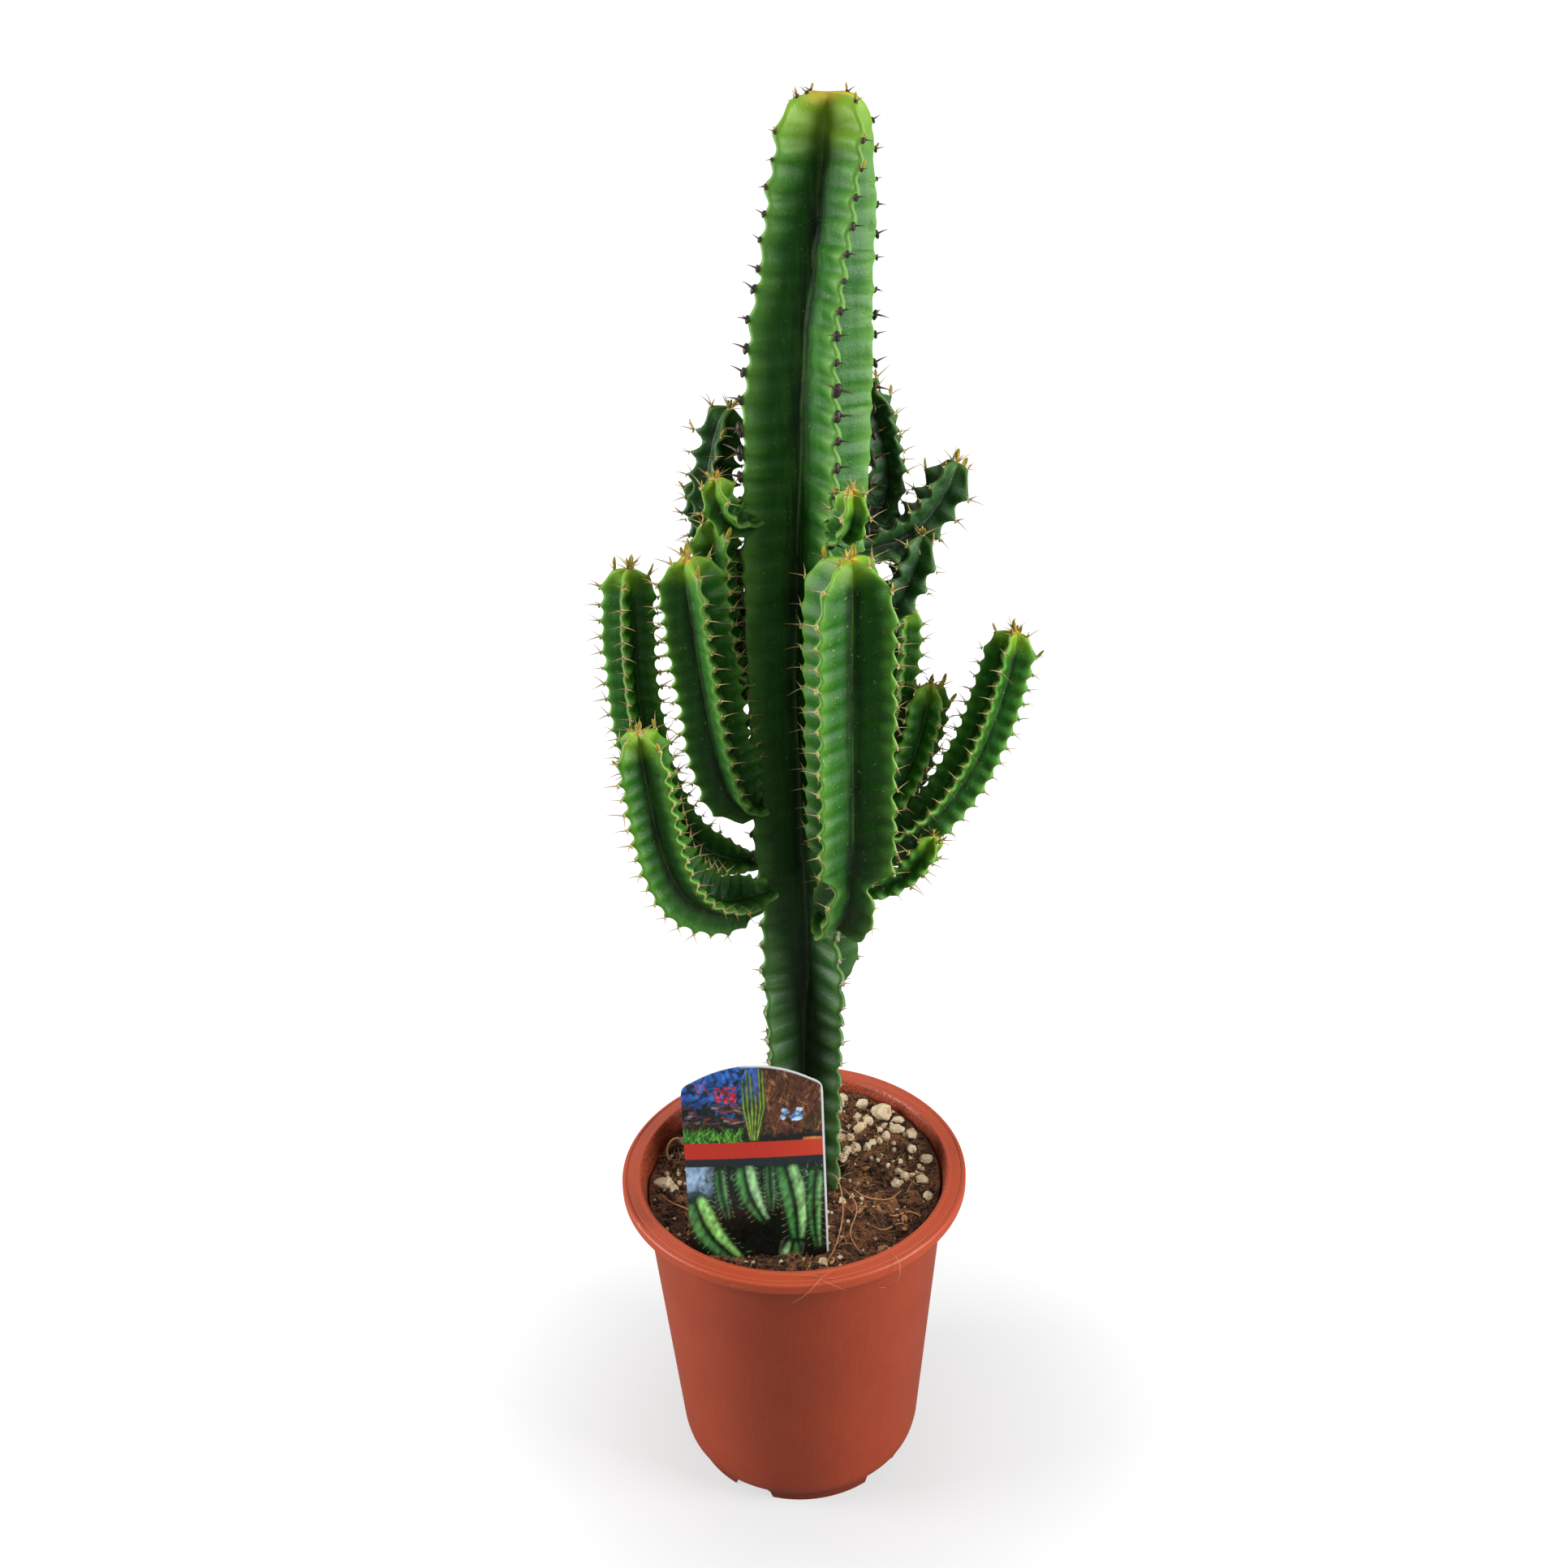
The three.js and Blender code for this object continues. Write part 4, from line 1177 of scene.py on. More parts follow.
# height, X of the axis, compass angle of the rib that faces front right, rib radius
STEM_SHAPE = [
    (140, 6, -43, 22), (158, 6, -43, 22.5), (227, 6.2, -43, 24), (256, 7, -45, 25.6),
    (283, 11, -59, 28), (305, 11.5, -64, 26.5), (360, 10.5, -67, 27.5), (425, 9.5, -69, 26.5),
    (480, 12, -69, 29.2), (540, 14.8, -68, 30), (575, 17, -71, 27.6), (600, 20, -68, 25.6),
    (625, 22, -62, 25.3), (642, 23.4, -56, 24.3), (662, 24.6, -52, 22)]
SPINE_SCALE = [(140, 0.38), (330, 0.55), (430, 1.0), (540, 1.0), (600, 0.55), (662, 0.4)]


def through(rows, column, x):
    """The value in a column of a table at x, on a smooth line through its rows."""
    for low, high in zip(rows, rows[1:]):
        if x <= high[0]:
            return low[column] + (high[column] - low[column]) * smooth_step(low[0], high[0], x)
    return rows[-1][column]


def path_mesh(name, points, radii, first_ribs, spine_scales):
    mesh = bpy.data.meshes.new(name)
    mesh.from_pydata([tuple(p) for p in points], [(i, i + 1) for i in range(len(points) - 1)], [])
    for label, values in (("rib_radius", radii), ("first_rib", first_ribs),
                          ("spine_scale", spine_scales)):
        mesh.attributes.new(label, "FLOAT", "POINT").data.foreach_set("value", values)
    return mesh


heights = [STEM_FOOT + (STEM_TOP - STEM_FOOT) * i / MAIN_STEPS for i in range(MAIN_STEPS + 1)]
main_path = path_mesh(
    "main_path", [POT_AXIS + Vector((through(STEM_SHAPE, 1, z / MM) * MM, STEM_Y, z)) for z in heights],
    [through(STEM_SHAPE, 3, z / MM) * MM for z in heights],
    [math.radians(through(STEM_SHAPE, 2, z / MM)) for z in heights],
    [through(SPINE_SCALE, 1, z / MM) for z in heights])
print("main path points:", len(main_path.vertices))

# %% [markdown]
# Each arm is one row of a table and one Bezier curve. Its foot is a narrow neck, as on the real
# plant, and the arm at the front right has a waist above its knee, where a year's growth stopped.

# %% Arms table
# name: compass angle of the plane, root height, sweep, elbow (distance, height), tip (distance,
# height), rib radius, turn of the first rib. Angles are in degrees, and lengths in millimetres from
# the upright line that the arms share
ARMS = {
    "arm_left_outer": (-170, 340, 62, (78, 400), (70, 483), 12.8, -17),
    "arm_left_tall": (-150, 371, 42, (43, 432), (51, 491), 16.5, -10),
    "arm_left_low": (-140, 329, 80, (78, 372), (86, 428), 15.5, 5),
    "arm_left_short": (-163, 428, 34, (37, 458), (34, 502), 12.5, 12),
    "arm_back_left_tall": (168, 448, 34, (45, 505), (27, 544), 11.5, 12),
    "arm_back_left_short": (150, 470, 40, (48, 484), (50, 509), 9.5, 30),
    "arm_left_bud": (-156, 500, 36, (38, 504), (40, 521), 9, 0),
    "arm_front_right": (-68, 322, 66, (46, 400), (55, 497), 23.5, 32),
    "arm_front_bud": (-66, 500, 38, (41, 506), (42, 521), 9, 40),
    "arm_right_inner": (34, 366, 50, (60, 405), (57, 448), 9.5, 51),
    "arm_right_middle": (24, 348, 48, (62, 375), (66, 411), 12, 1),
    "arm_right_outer": (10, 338, 64, (86, 380), (97, 439), 13, -32),
    "arm_right_low": (3, 319, 40, (52, 326), (60, 346), 9, 20),
    "arm_back_right_top": (45, 484, 60, (58, 505), (38, 547), 12.5, 0),
    "arm_back_right_long": (24, 480, 50, (60, 486), (73, 512), 13.5, 30),
    "arm_back_right_short": (15, 447, 38, (50, 458), (55, 485), 12.5, 30),
}
CENTRE_X, BEND_HEIGHT, LEAN = 8.5, 430, 0.07
ARM_START, NECK, NECK_LENGTH = 21, 0.5, 20
WAIST_AT, WAIST_DEPTH, WAIST_LENGTH, KNEE, KNEE_LENGTH = 46, 0.32, 6, 0.68, 14


def bezier(a, b, c, d, t):
    s = 1 - t
    return a * s ** 3 + b * 3 * s * s * t + c * 3 * s * t * t + d * t ** 3


def arm_path(name):
    """The arm's path mesh, its length in metres and the direction across its plane."""
    plane, root, sweep, elbow, tip, radius, turn = ARMS[name]
    out = Vector((math.cos(math.radians(plane)), math.sin(math.radians(plane)), 0))
    centre = POT_AXIS + Vector(((CENTRE_X + LEAN * max(0, root - BEND_HEIGHT)) * MM, STEM_Y, 0))
    corners = [centre + Vector((0, 0, z * MM)) + out * distance * MM
               for distance, z in ((ARM_START, root), (sweep, root), elbow, tip)]
    points = [bezier(*corners, i / ARM_STEPS) for i in range(ARM_STEPS + 1)]
    runs = [0.0]
    for a, b in zip(points, points[1:]):
        runs.append(runs[-1] + (b - a).length / MM)
    length = runs[-1]
    radii = []
    for run in runs:
        share = NECK + (1 - NECK) * smooth_step(0, min(NECK_LENGTH, length * 0.4), run)
        if name == "arm_front_right":
            share *= KNEE + (1 - KNEE) * smooth_step(WAIST_AT - 2, WAIST_AT + KNEE_LENGTH, run)
            share *= 1 - WAIST_DEPTH * math.exp(-((run - WAIST_AT) / WAIST_LENGTH) ** 2)
        radii.append(radius * share * MM)
    mesh = path_mesh(name + "_path", points, radii, [math.radians(turn)] * len(points),
                     [0.8 + 0.3 * (r / length) for r in runs])
    return mesh, length * MM, Vector((-out.y, out.x, 0))


print("arms:", len(ARMS))

# %% [markdown]
# The main stem is one run of the skin tree, with more rings and points than the arms because it is
# the largest surface in view. A grown piece is then settled: its faces are turned outwards, it is
# hung on its body, and the CAD node that it stands for is hidden.

# %% Grow the main stem
MAIN = {"Across": (0, 1, 0), "Teeth": 46, "Crowding": 1.16, "Crown": 13 * MM, "Bluntness": 0.5}
main_stem = grown("main_stem_skin", skin, main_path.copy(), {
    **MAIN, "Rings": 460, "Around": 104, "Valley": 0.23, "Crest width": 3.8 * MM, "Tooth depth": 0.075,
    "Ripple": 1.2 * MM, "Sway": 1.0 * MM, "Grain": 0.35 * MM, "Tip reach": 34 * MM,
    "Finish": main_finish})


def settle(piece, node=None):
    """Gives a grown piece its outward normals and its body, and hides the CAD node it stands for."""
    work = bmesh.new()
    work.from_mesh(piece.data)
    if work.calc_volume(signed=True) < 0:
        bmesh.ops.reverse_faces(work, faces=work.faces)
        work.to_mesh(piece.data)
    volume = work.calc_volume(signed=True) * 1e6
    work.free()
    if node:
        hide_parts(node)
    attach(piece, "root")
    return round(volume, 2)


print("main stem cm3:", settle(main_stem, "main_stem"))

# %% [markdown]
# The same tree makes each arm. Thin arms have deeper teeth for their size, and the arms at the back
# are stunted and more knobbly than the ones that get light. Their darker colours are painted shade.

# %% Grow the arms
BROAD, THIN = 20, 10  # rib radii in mm that tell broad and thin arms from the rest
WIDE_PITCH, TOOTH_PITCH, RING_PITCH = 9.4 * MM, 7.4 * MM, 1.25 * MM


def tooth_depth(radius, shaded):
    return 0.34 if shaded else 0.26 if radius < THIN else 0.17 if radius < BROAD else 0.10


arm_values, arm_paths = {}, {}
for name in ARMS:
    mesh, length, across = arm_path(name)
    radius = ARMS[name][5]
    arm_paths[name] = mesh
    shaded = "_back_" in name
    pitch = WIDE_PITCH if radius > BROAD or shaded else TOOTH_PITCH
    arm_values[name] = {"Across": tuple(across), "Bluntness": 0.8, "Crowding": 1.08,
                        "Teeth": max(3, round(length / pitch)), "Crown": radius * 0.95 * MM}
    arm = grown(name + "_skin", skin, mesh.copy(), {
        **arm_values[name], "Rings": max(24, round(length / RING_PITCH)),
        "Around": 88 if radius > BROAD else 72, "Valley": 0.27,
        "Crest width": min(2.8, radius * 0.28) * MM, "Tooth depth": tooth_depth(radius, shaded),
        "Ripple": min(0.9, radius * 0.055) * MM,
        "Sway": 0.8 * MM, "Grain": 0.25 * MM, "Tip reach": 15 * MM,
        "Finish": shaded_finish if shaded else arm_finish})
    print(name, "cm3:", settle(arm, name))

# %% [markdown]
# ## Spines and leaves
# Every tooth carries a small horny shield with a pair of spines that spread sideways, and the teeth
# at a growing tip also carry a little leaf. Both sit at places that follow from the same numbers as
# the skin: how far along the stem a tooth is, on which rib, and how far out the crest reaches
# there. A second tree works out those places, puts one small shape on each, and makes the shapes
# real.

# %% Places on the crests
def crest_places(tree, given, first_tooth, lift):
    """Points on the crest at every tooth from first_tooth on, with their turn and their scale."""
    path = chain(tree, given["Path"], "GeometryNodeMeshToCurve")
    length = put(tree, "GeometryNodeCurveLength", {0: path})
    index = put(tree, "GeometryNodeInputIndex")
    rib = index.math("MODULO", 4)
    tooth = (index / 4).math("FLOOR") + first_tooth
    along = ((tooth + 0.5 + rib * 0.37) / given["Teeth"]).math("MINIMUM", 0.996)
    factor = along ** (given["Crowding"] ** -1)
    values = {}
    for label in ("rib_radius", "first_rib", "spine_scale"):
        sample = tree.nodes.new("GeometryNodeSampleCurve")
        sample.mode = "FACTOR"
        connect(path, sample.inputs["Curves"])
        taken, = (s for s in sample.inputs if s.name == "Value" and s.enabled)
        given_back, = (s for s in sample.outputs if s.name == "Value" and s.enabled)
        connect(named(tree, label), taken)
        connect(factor, sample.inputs["Factor"])
        values[label] = Wire(tree, given_back)
    centre, tangent = Wire(tree, sample.outputs["Position"]), Wire(tree, sample.outputs["Tangent"])
    from_tip = length * (1 - factor)
    q, closing, onward = crown_shape(from_tip, given["Crown"], given["Bluntness"])
    reach = values["rib_radius"] * closing
    way = values["first_rib"] + rib * (math.pi / 2)
    side_way = vector_math("NORMALIZE", vector_math("CROSS_PRODUCT", given["Across"], tangent))
    outward_way = moved(vector_math("SCALE", side_way, scale=way.math("COSINE")),
                        given["Across"], way.math("SINE"))
    spot = moved(moved(centre, outward_way, reach - lift), tangent, onward)
    leaning = moved(outward_way, tangent, q * 0.9)
    turn = put(tree, "FunctionNodeAxesToRotation", {0: leaning, 1: tangent},
               primary_axis="X", secondary_axis="Z")
    return spot, turn, values["spine_scale"]


def set_out(tree, result, finish, points, shape, turn, sizes, jitter):
    """Puts a shape on every point with its turn and size, jogs each a little, and ends the tree."""
    pieces = chain(tree, points, "GeometryNodeInstanceOnPoints",
                   {"Instance": shape, "Rotation": turn, "Scale": xyz(tree, sizes, sizes, sizes)})
    jog = put(tree, "FunctionNodeEulerToRotation", {0: jitter})
    pieces = chain(tree, pieces, "GeometryNodeRotateInstances", {"Rotation": jog})
    end_tree(tree, pieces, result, finish)


print("crest helpers ready")

# %% [markdown]
# A pair of spines is two thin cones with a slight hook, on a flat oval shield of horn. The pair is
# modelled once and placed on every tooth, with a size and a tilt that vary a little.

# %% Spine tree
spines, given, result = new_group(
    "Spine pairs", "GeometryNodeTree",
    {**STEM_INPUTS, "Spine length": ("Float", 0.005), "Spine width": ("Float", 0.0008),
     "Shield": ("Float", 0.002), "Spread": ("Float", 0.8), "First tooth": ("Int", 0),
     "Seed": ("Int", 1), "Finish": ("Material", None)},
    {"Spines": "Geometry"})
spot, turn, scale = crest_places(spines, given, given["First tooth"], 0.0003)
count = (given["Teeth"] - given["First tooth"]) * 4
points = put(spines, "GeometryNodePoints", {"Count": count, "Position": spot})
cone = put(spines, "GeometryNodeMeshCone",
           {"Vertices": 5, "Side Segments": 4, "Radius Top": given["Spine width"] * 0.06,
            "Radius Bottom": given["Spine width"] * 0.5, "Depth": given["Spine length"]}, output="Mesh")
here = put(spines, "GeometryNodeInputPosition")
share = put(spines, "ShaderNodeSeparateXYZ", {0: here}, output=2) / given["Spine length"]
cone = chain(spines, cone, "GeometryNodeStoreNamedAttribute", {"Name": "point", "Value": share},
             domain="POINT", data_type="FLOAT")
hook = xyz(spines, share ** 2 * given["Spine length"] * 0.18, 0.0, 0.0)
cone = chain(spines, cone, "GeometryNodeSetPosition", {"Offset": hook})
pair = spines.nodes.new("GeometryNodeJoinGeometry")
for hand in (1, -1):
    tilt = put(spines, "FunctionNodeEulerToRotation",
               {0: xyz(spines, given["Spread"] * -hand, 1.15 + hand * 0.06, 0.0)})
    one = chain(spines, cone, "GeometryNodeTransform", {"Rotation": tilt})
    connect(one, pair.inputs[0])
shield = put(spines, "GeometryNodeMeshIcoSphere", {"Radius": given["Shield"] * 0.5, "Subdivisions": 2},
             output="Mesh")
shield = chain(spines, shield, "GeometryNodeTransform",
               {"Scale": (0.6, 0.95, 1.5), "Translation": (-0.0001, 0, -0.0002)})
connect(shield, pair.inputs[0])
sizes = random_number(spines, 0.7, 1.25, given["Seed"]) * scale
jitter = random_vector(spines, (-0.35, -0.3, -0.3), (0.35, 0.3, 0.3), given["Seed"] + 1)
set_out(spines, result, given["Finish"], points, Wire(spines, pair.outputs[0]), turn, sizes, jitter)

# %% [markdown]
# The leaves are small, thick and folded along the middle, and they drop off as the tip grows on.
# So only the last few rows of teeth have them. Each is a ball, flattened and bent upwards.

# %% Leaf tree
leaves, given, result = new_group(
    "Tip leaves", "GeometryNodeTree",
    {**STEM_INPUTS, "Leaf length": ("Float", 0.005), "Rows": ("Int", 2), "Seed": ("Int", 1),
     "Finish": ("Material", None)},
    {"Leaves": "Geometry"})
spot, turn, _ = crest_places(leaves, given, given["Teeth"] - given["Rows"], 0.0006)
points = put(leaves, "GeometryNodePoints", {"Count": given["Rows"] * 4, "Position": spot})
blade = put(leaves, "GeometryNodeMeshIcoSphere", {"Radius": 0.5, "Subdivisions": 2}, output="Mesh")
long_way = given["Leaf length"]
blade = chain(leaves, blade, "GeometryNodeTransform",
              {"Scale": xyz(leaves, long_way, long_way * 0.40, long_way * 0.12),
               "Translation": xyz(leaves, long_way * 0.42, 0.0, 0.0)})
parts = leaves.nodes.new("ShaderNodeSeparateXYZ")
connect(put(leaves, "GeometryNodeInputPosition"), parts.inputs[0])
x, y = Wire(leaves, parts.outputs[0]), Wire(leaves, parts.outputs[1])
fold = abs(y) * 0.55 + x * x / long_way * 0.45
blade = chain(leaves, blade, "GeometryNodeSetPosition", {"Offset": xyz(leaves, 0.0, 0.0, fold)})
sizes = random_number(leaves, 0.45, 1.2, given["Seed"])
jitter = random_vector(leaves, (-0.5, -0.9, -0.5), (0.5, -0.1, 0.5), given["Seed"] + 1)
set_out(leaves, result, given["Finish"], points, blade, turn, sizes, jitter)

# %% [markdown]
# A spine is horn: darker at one end than at the other and a little blotchy. The main stem's are
# dark, the young arms' are straw-coloured, and the leaves run from green to orange.

# %% Spine and leaf finishes
def horn(name, root_colour, tip_colour, weathered=0.0):
    material, tree, shader = new_finish(name, 0.5)
    place = object_place(tree)
    point = surface_value(tree, "point")
    blotch = noise_value(tree, place, 800.0, 3.0)
    horn_colour = mixed(clamped(point + (blotch - 0.5) * 0.5), root_colour, tip_colour)
    height = put(tree, "ShaderNodeSeparateXYZ", {0: place}, output=2)
    horn_colour = mixed(ramp(height, 0.28, 0.36, weathered, 0), horn_colour, colour(188, 182, 152))
    connect(horn_colour, shader.inputs["Base Color"])
    grained(tree, shader, place, 2600.0, 0.00008)
    return material


# the oldest spines, low on the main stem, have weathered to grey
dark_horn = horn("spine_dark", colour(44, 32, 22), colour(96, 66, 40), 0.8)
pale_horn = horn("spine_pale", colour(200, 180, 124), colour(150, 112, 62))

leaf_green = plain_finish(
    "tip_leaf", 0.45, (420.0, (120, 132, 36), (206, 164, 52), 2.2), (1800.0, 0.0001))
print("spine and leaf finishes: dark horn, pale horn, leaf")

# %% [markdown]
# Both trees run on the same paths as the skins, with the same numbers, so every spine stands on its
# tooth. The arms' spines are joined into one piece and all leaves into another, since more than
# thirty little pieces would be hard to keep track of.

# %% Grow the spines and the leaves
main_spines = grown("main_stem_spines", spines, main_path.copy(), {
    **MAIN, "Spine length": 7.6 * MM, "Spine width": 1.5 * MM, "Shield": 3.9 * MM, "Spread": 0.85,
    "First tooth": 1, "Seed": 3, "Finish": dark_horn})
settle(main_spines)
arm_spine_parts, arm_leaf_parts = [], []
for number, name in enumerate(ARMS):
    radius = ARMS[name][5]
    arm_spine_parts.append(grown(name + "_spines", spines, arm_paths[name].copy(), {
        **arm_values[name], "Spine length": 6.2 * MM, "Spine width": 0.6 * MM, "Shield": 1.5 * MM,
        "Spread": 0.8, "First tooth": 2, "Seed": 100 + number, "Finish": pale_horn}))
    arm_leaf_parts.append(grown(name + "_leaves", leaves, arm_paths[name].copy(), {
        **arm_values[name], "Leaf length": min(5.2, radius * 0.42) * MM, "Rows": 2,
        "Seed": 200 + number, "Finish": leaf_green}))
arm_leaf_parts.append(grown("main_leaves", leaves, main_path.copy(), {
    **MAIN, "Leaf length": 3.6 * MM, "Rows": 3, "Seed": 300, "Finish": leaf_green}))
arm_spines = joined("arm_spines", arm_spine_parts)
tip_leaves = joined("tip_leaves", arm_leaf_parts)
cover(arm_spines.data, pale_horn)
cover(tip_leaves.data, leaf_green)
settle(arm_spines)
settle(tip_leaves)
print("arm spine vertices:", len(arm_spines.data.vertices))

# %% [markdown]
# ## Plant label
# The label is a thin plastic card with an arched top, pushed into the soil on a stake and leaning
# back a little. Its front is printed with a garden picture, a red band, a dark band and a picture
# of green ribbed stems. Nothing is written on it. The print is painted in code, as colours on the
# points of a fine grid, with soft strokes the way a brush would lay them, so it needs no picture
# file.

# %% Card shape
LABEL = {"width": 65 * MM, "shoulder": 97 * MM, "arch": 10 * MM, "thickness": 0.8 * MM,
         "stake": 14 * MM, "stake_length": 45 * MM, "x": -17 * MM, "y": -51.2 * MM, "z": 150 * MM}
label_place = (Matrix.Translation(POT_AXIS + Vector((LABEL["x"], LABEL["y"], LABEL["z"])))
               @ Matrix.Rotation(math.radians(-7), 4, "X")
               @ Matrix.Rotation(math.radians(-0.7), 4, "Y"))


CARD_HEIGHT = LABEL["shoulder"] + LABEL["arch"]
RATIO = CARD_HEIGHT / LABEL["width"]


def card_top(x):
    """Height of the arched top edge at a distance x from the middle of the card."""
    half, shoulder, arch = LABEL["width"] / 2, LABEL["shoulder"], LABEL["arch"]
    inner = half - 5 * MM
    if abs(x) <= inner:
        t = (x / inner + 1) / 2
        return shoulder + 2 * MM + 2 * t * (1 - t) * (2 * arch - 4 * MM)
    t = 1 - math.sqrt(max(0.0, (half - abs(x)) / (5 * MM)))
    return ((1 - t) ** 2 * (shoulder + 2 * MM) + 2 * t * (1 - t) * shoulder
            + t * t * (shoulder - 4 * MM))


ACROSS, UPWARDS = 165, 270
columns = [LABEL["width"] * (i / (ACROSS - 1) - 0.5) for i in range(ACROSS)]
front, spots = [], []
for x in columns:
    top = card_top(x)
    for j in range(UPWARDS):
        z = top * j / (UPWARDS - 1)
        bow = 0.9 * MM * (1 - (2 * x / LABEL["width"]) ** 2)
        front.append(label_place @ Vector((x, -LABEL["thickness"] / 2 - bow, z)))
        spots.append((x / LABEL["width"] + 0.5, z / CARD_HEIGHT))
print("label points on the front:", len(front))

# %% [markdown]
# Each point of the card holds one colour. A mask from 0 to 1 lays a colour over a region, a stroke
# is a soft tapering line, and a tuft is many small random strokes. The picture is built from the
# back to the front: sky and soil, then plants, then the bands, and the pale edge last.

# %% Paint the print
spots = np.array(spots)
across, high = spots[:, 0], spots[:, 1]
picture = np.zeros((len(spots), 3))
brush = np.random.default_rng(41)


def ink(mask, shade):
    """Lays a colour over the picture by a mask from 0 to 1."""
    amount = np.clip(mask, 0, 1)[:, None]
    picture[:] = picture * (1 - amount) + np.array(colour(*shade)[:3]) * amount


def above(values, edge, soft):
    """0 below an edge and 1 above it, with a soft step between."""
    return np.clip((values - edge) / soft, 0, 1)


def under(values, edge, soft):
    return np.clip((edge - values) / soft, 0, 1)


def stroke(x0, z0, x1, z1, w0, w1, shade, soft=0.004, strength=1.0):
    """A tapering brush stroke between two places. The card is 1 wide and 1 high, so z is stretched."""
    px, pz = across - x0, (high - z0) * RATIO
    dx, dz = x1 - x0, (z1 - z0) * RATIO
    t = np.clip((px * dx + pz * dz) / (dx * dx + dz * dz + 1e-12), 0, 1)
    gap = np.hypot(px - dx * t, pz - dz * t)
    ink(np.clip((w0 + (w1 - w0) * t - gap) / soft, 0, 1) * strength, shade)


def tuft(count, x_range, z_range, lean, length, width, shades, strength=0.9):
    """Many small strokes, like leaves or grass."""
    for _ in range(count):
        x, z = brush.uniform(*x_range), brush.uniform(*z_range)
        a = math.radians(brush.uniform(*lean))
        size = length * brush.uniform(0.5, 1.2)
        shade = shades[brush.integers(len(shades))]
        stroke(x, z, x + math.cos(a) * size, z + math.sin(a) * size * 0.61,
               width * brush.uniform(0.6, 1.2), width * 0.2, shade, 0.003, strength)


ink(np.ones(len(spots)), (16, 24, 22))
ink(above(high, 0.80, 0.05) * under(across, 0.62, 0.08), (52, 108, 196))
ink(above(high, 0.66, 0.02) * above(across, 0.5, 0.1), (86, 52, 34))
tuft(150, (0.0, 0.45), (0.72, 0.98), (0, 180), 0.09, 0.016,
     [(14, 26, 36), (18, 34, 50), (18, 36, 24), (40, 84, 150)], 0.75)
tuft(60, (0.0, 0.45), (0.72, 0.82), (-20, 20), 0.08, 0.010,
     [(120, 66, 40), (70, 44, 34), (150, 60, 44), (36, 40, 70), (150, 150, 140)], 0.8)
tuft(230, (0.55, 1.0), (0.66, 0.95), (40, 150), 0.15, 0.006,
     [(138, 84, 52), (108, 62, 38), (176, 118, 70), (70, 40, 26), (44, 26, 18)])
tuft(120, (0.0, 1.0), (0.655, 0.74), (0, 180), 0.05, 0.013,
     [(96, 44, 34), (60, 40, 26), (48, 66, 30), (24, 20, 18)], 0.8)
tuft(26, (0.70, 0.84), (0.735, 0.79), (-10, 10), 0.03, 0.016,
     [(120, 172, 224), (70, 130, 200), (186, 214, 236)], 0.9)
for x, tall in ((0.44, 0.93), (0.47, 0.98), (0.50, 0.96), (0.56, 0.985), (0.585, 0.97), (0.53, 0.86)):
    foot = 0.50 + (x - 0.51) * 0.3
    for shade, shift, wide in (((50, 76, 28), 0, 0.015), ((146, 170, 66), -0.004, 0.006),
                               ((28, 44, 18), 0.009, 0.003)):
        stroke(foot + shift, 0.645, x + shift, 0.80, wide, wide, shade, 0.004)
        stroke(x + shift, 0.80, x + shift, tall, wide, wide * 0.8, shade, 0.004)
tuft(34, (0.24, 0.38), (0.83, 0.90), (0, 360), 0.035, 0.013,
     [(204, 40, 44), (232, 76, 66), (150, 24, 34)])
tuft(8, (0.10, 0.2), (0.88, 0.93), (0, 360), 0.025, 0.010, [(204, 60, 60), (176, 40, 48)])
tuft(210, (0.0, 0.42), (0.625, 0.675), (35, 145), 0.085, 0.007,
     [(74, 150, 44), (112, 190, 58), (40, 104, 34), (22, 62, 24)])
stroke(0.86, 0.637, 0.97, 0.637, 0.020, 0.016, (214, 128, 66), 0.008, 0.9)
below = under(high, 0.518, 0.003)
ink(below, (12, 20, 15))
ink(below * above(high, 0.34, 0.1) * under(across, 0.22, 0.10), (152, 182, 214))
dim = [(20, 52, 30), (36, 84, 46), (70, 120, 80), (14, 34, 20), (120, 160, 130)]
tuft(260, (0.10, 0.98), (0.30, 0.50), (60, 150), 0.05, 0.010, dim, 0.7)


def painted_stem(x0, z0, x1, z1, bend, wide, bright):
    """A broad ribbed stem: two pale faces, a dark valley, pale toothed edges and soft cross strokes."""
    run = Vector((x1 - x0, (z1 - z0) * RATIO))
    sideways = Vector((run.y, -run.x)).normalized()

    def beside(t, offset):
        """The place at a share t of the way, an offset away from the bent middle line."""
        off = bend * math.sin(math.pi * t) + offset
        return (x0 + (x1 - x0) * t + sideways.x * off,
                z0 + (z1 - z0) * t + sideways.y * off / RATIO)

    for offset, share, shade in ((0, 1.0, (18, 50, 24)), (-0.46, 0.42, bright),
                                 (0.46, 0.36, (84, 156, 84)),
                                 (-0.55, 0.16, (176, 218, 160)), (0.05, 0.07, (12, 34, 16))):
        last = None
        for step in range(13):
            t = step / 12
            body = wide * (0.55 + 0.45 * math.sin(math.pi * min(1.0, 0.25 + t * 0.75)))
            place = beside(t, offset * body)
            if last:
                soft = 0.012 if share == 1.0 else 0.035
                stroke(*last, *place, body * share, body * share, shade, soft, 0.7)
            last = place
    for step in range(22):
        t = step / 21
        for hand in (-1, 1):
            x, z = beside(t, hand * wide * 0.95)
            inward = -hand * wide * 0.4
            stroke(x, z, x + sideways.x * inward, z + sideways.y * inward / RATIO + 0.012, 0.005, 0.002,
                   (196, 222, 170) if step % 2 else (30, 70, 32), 0.005, 0.45)


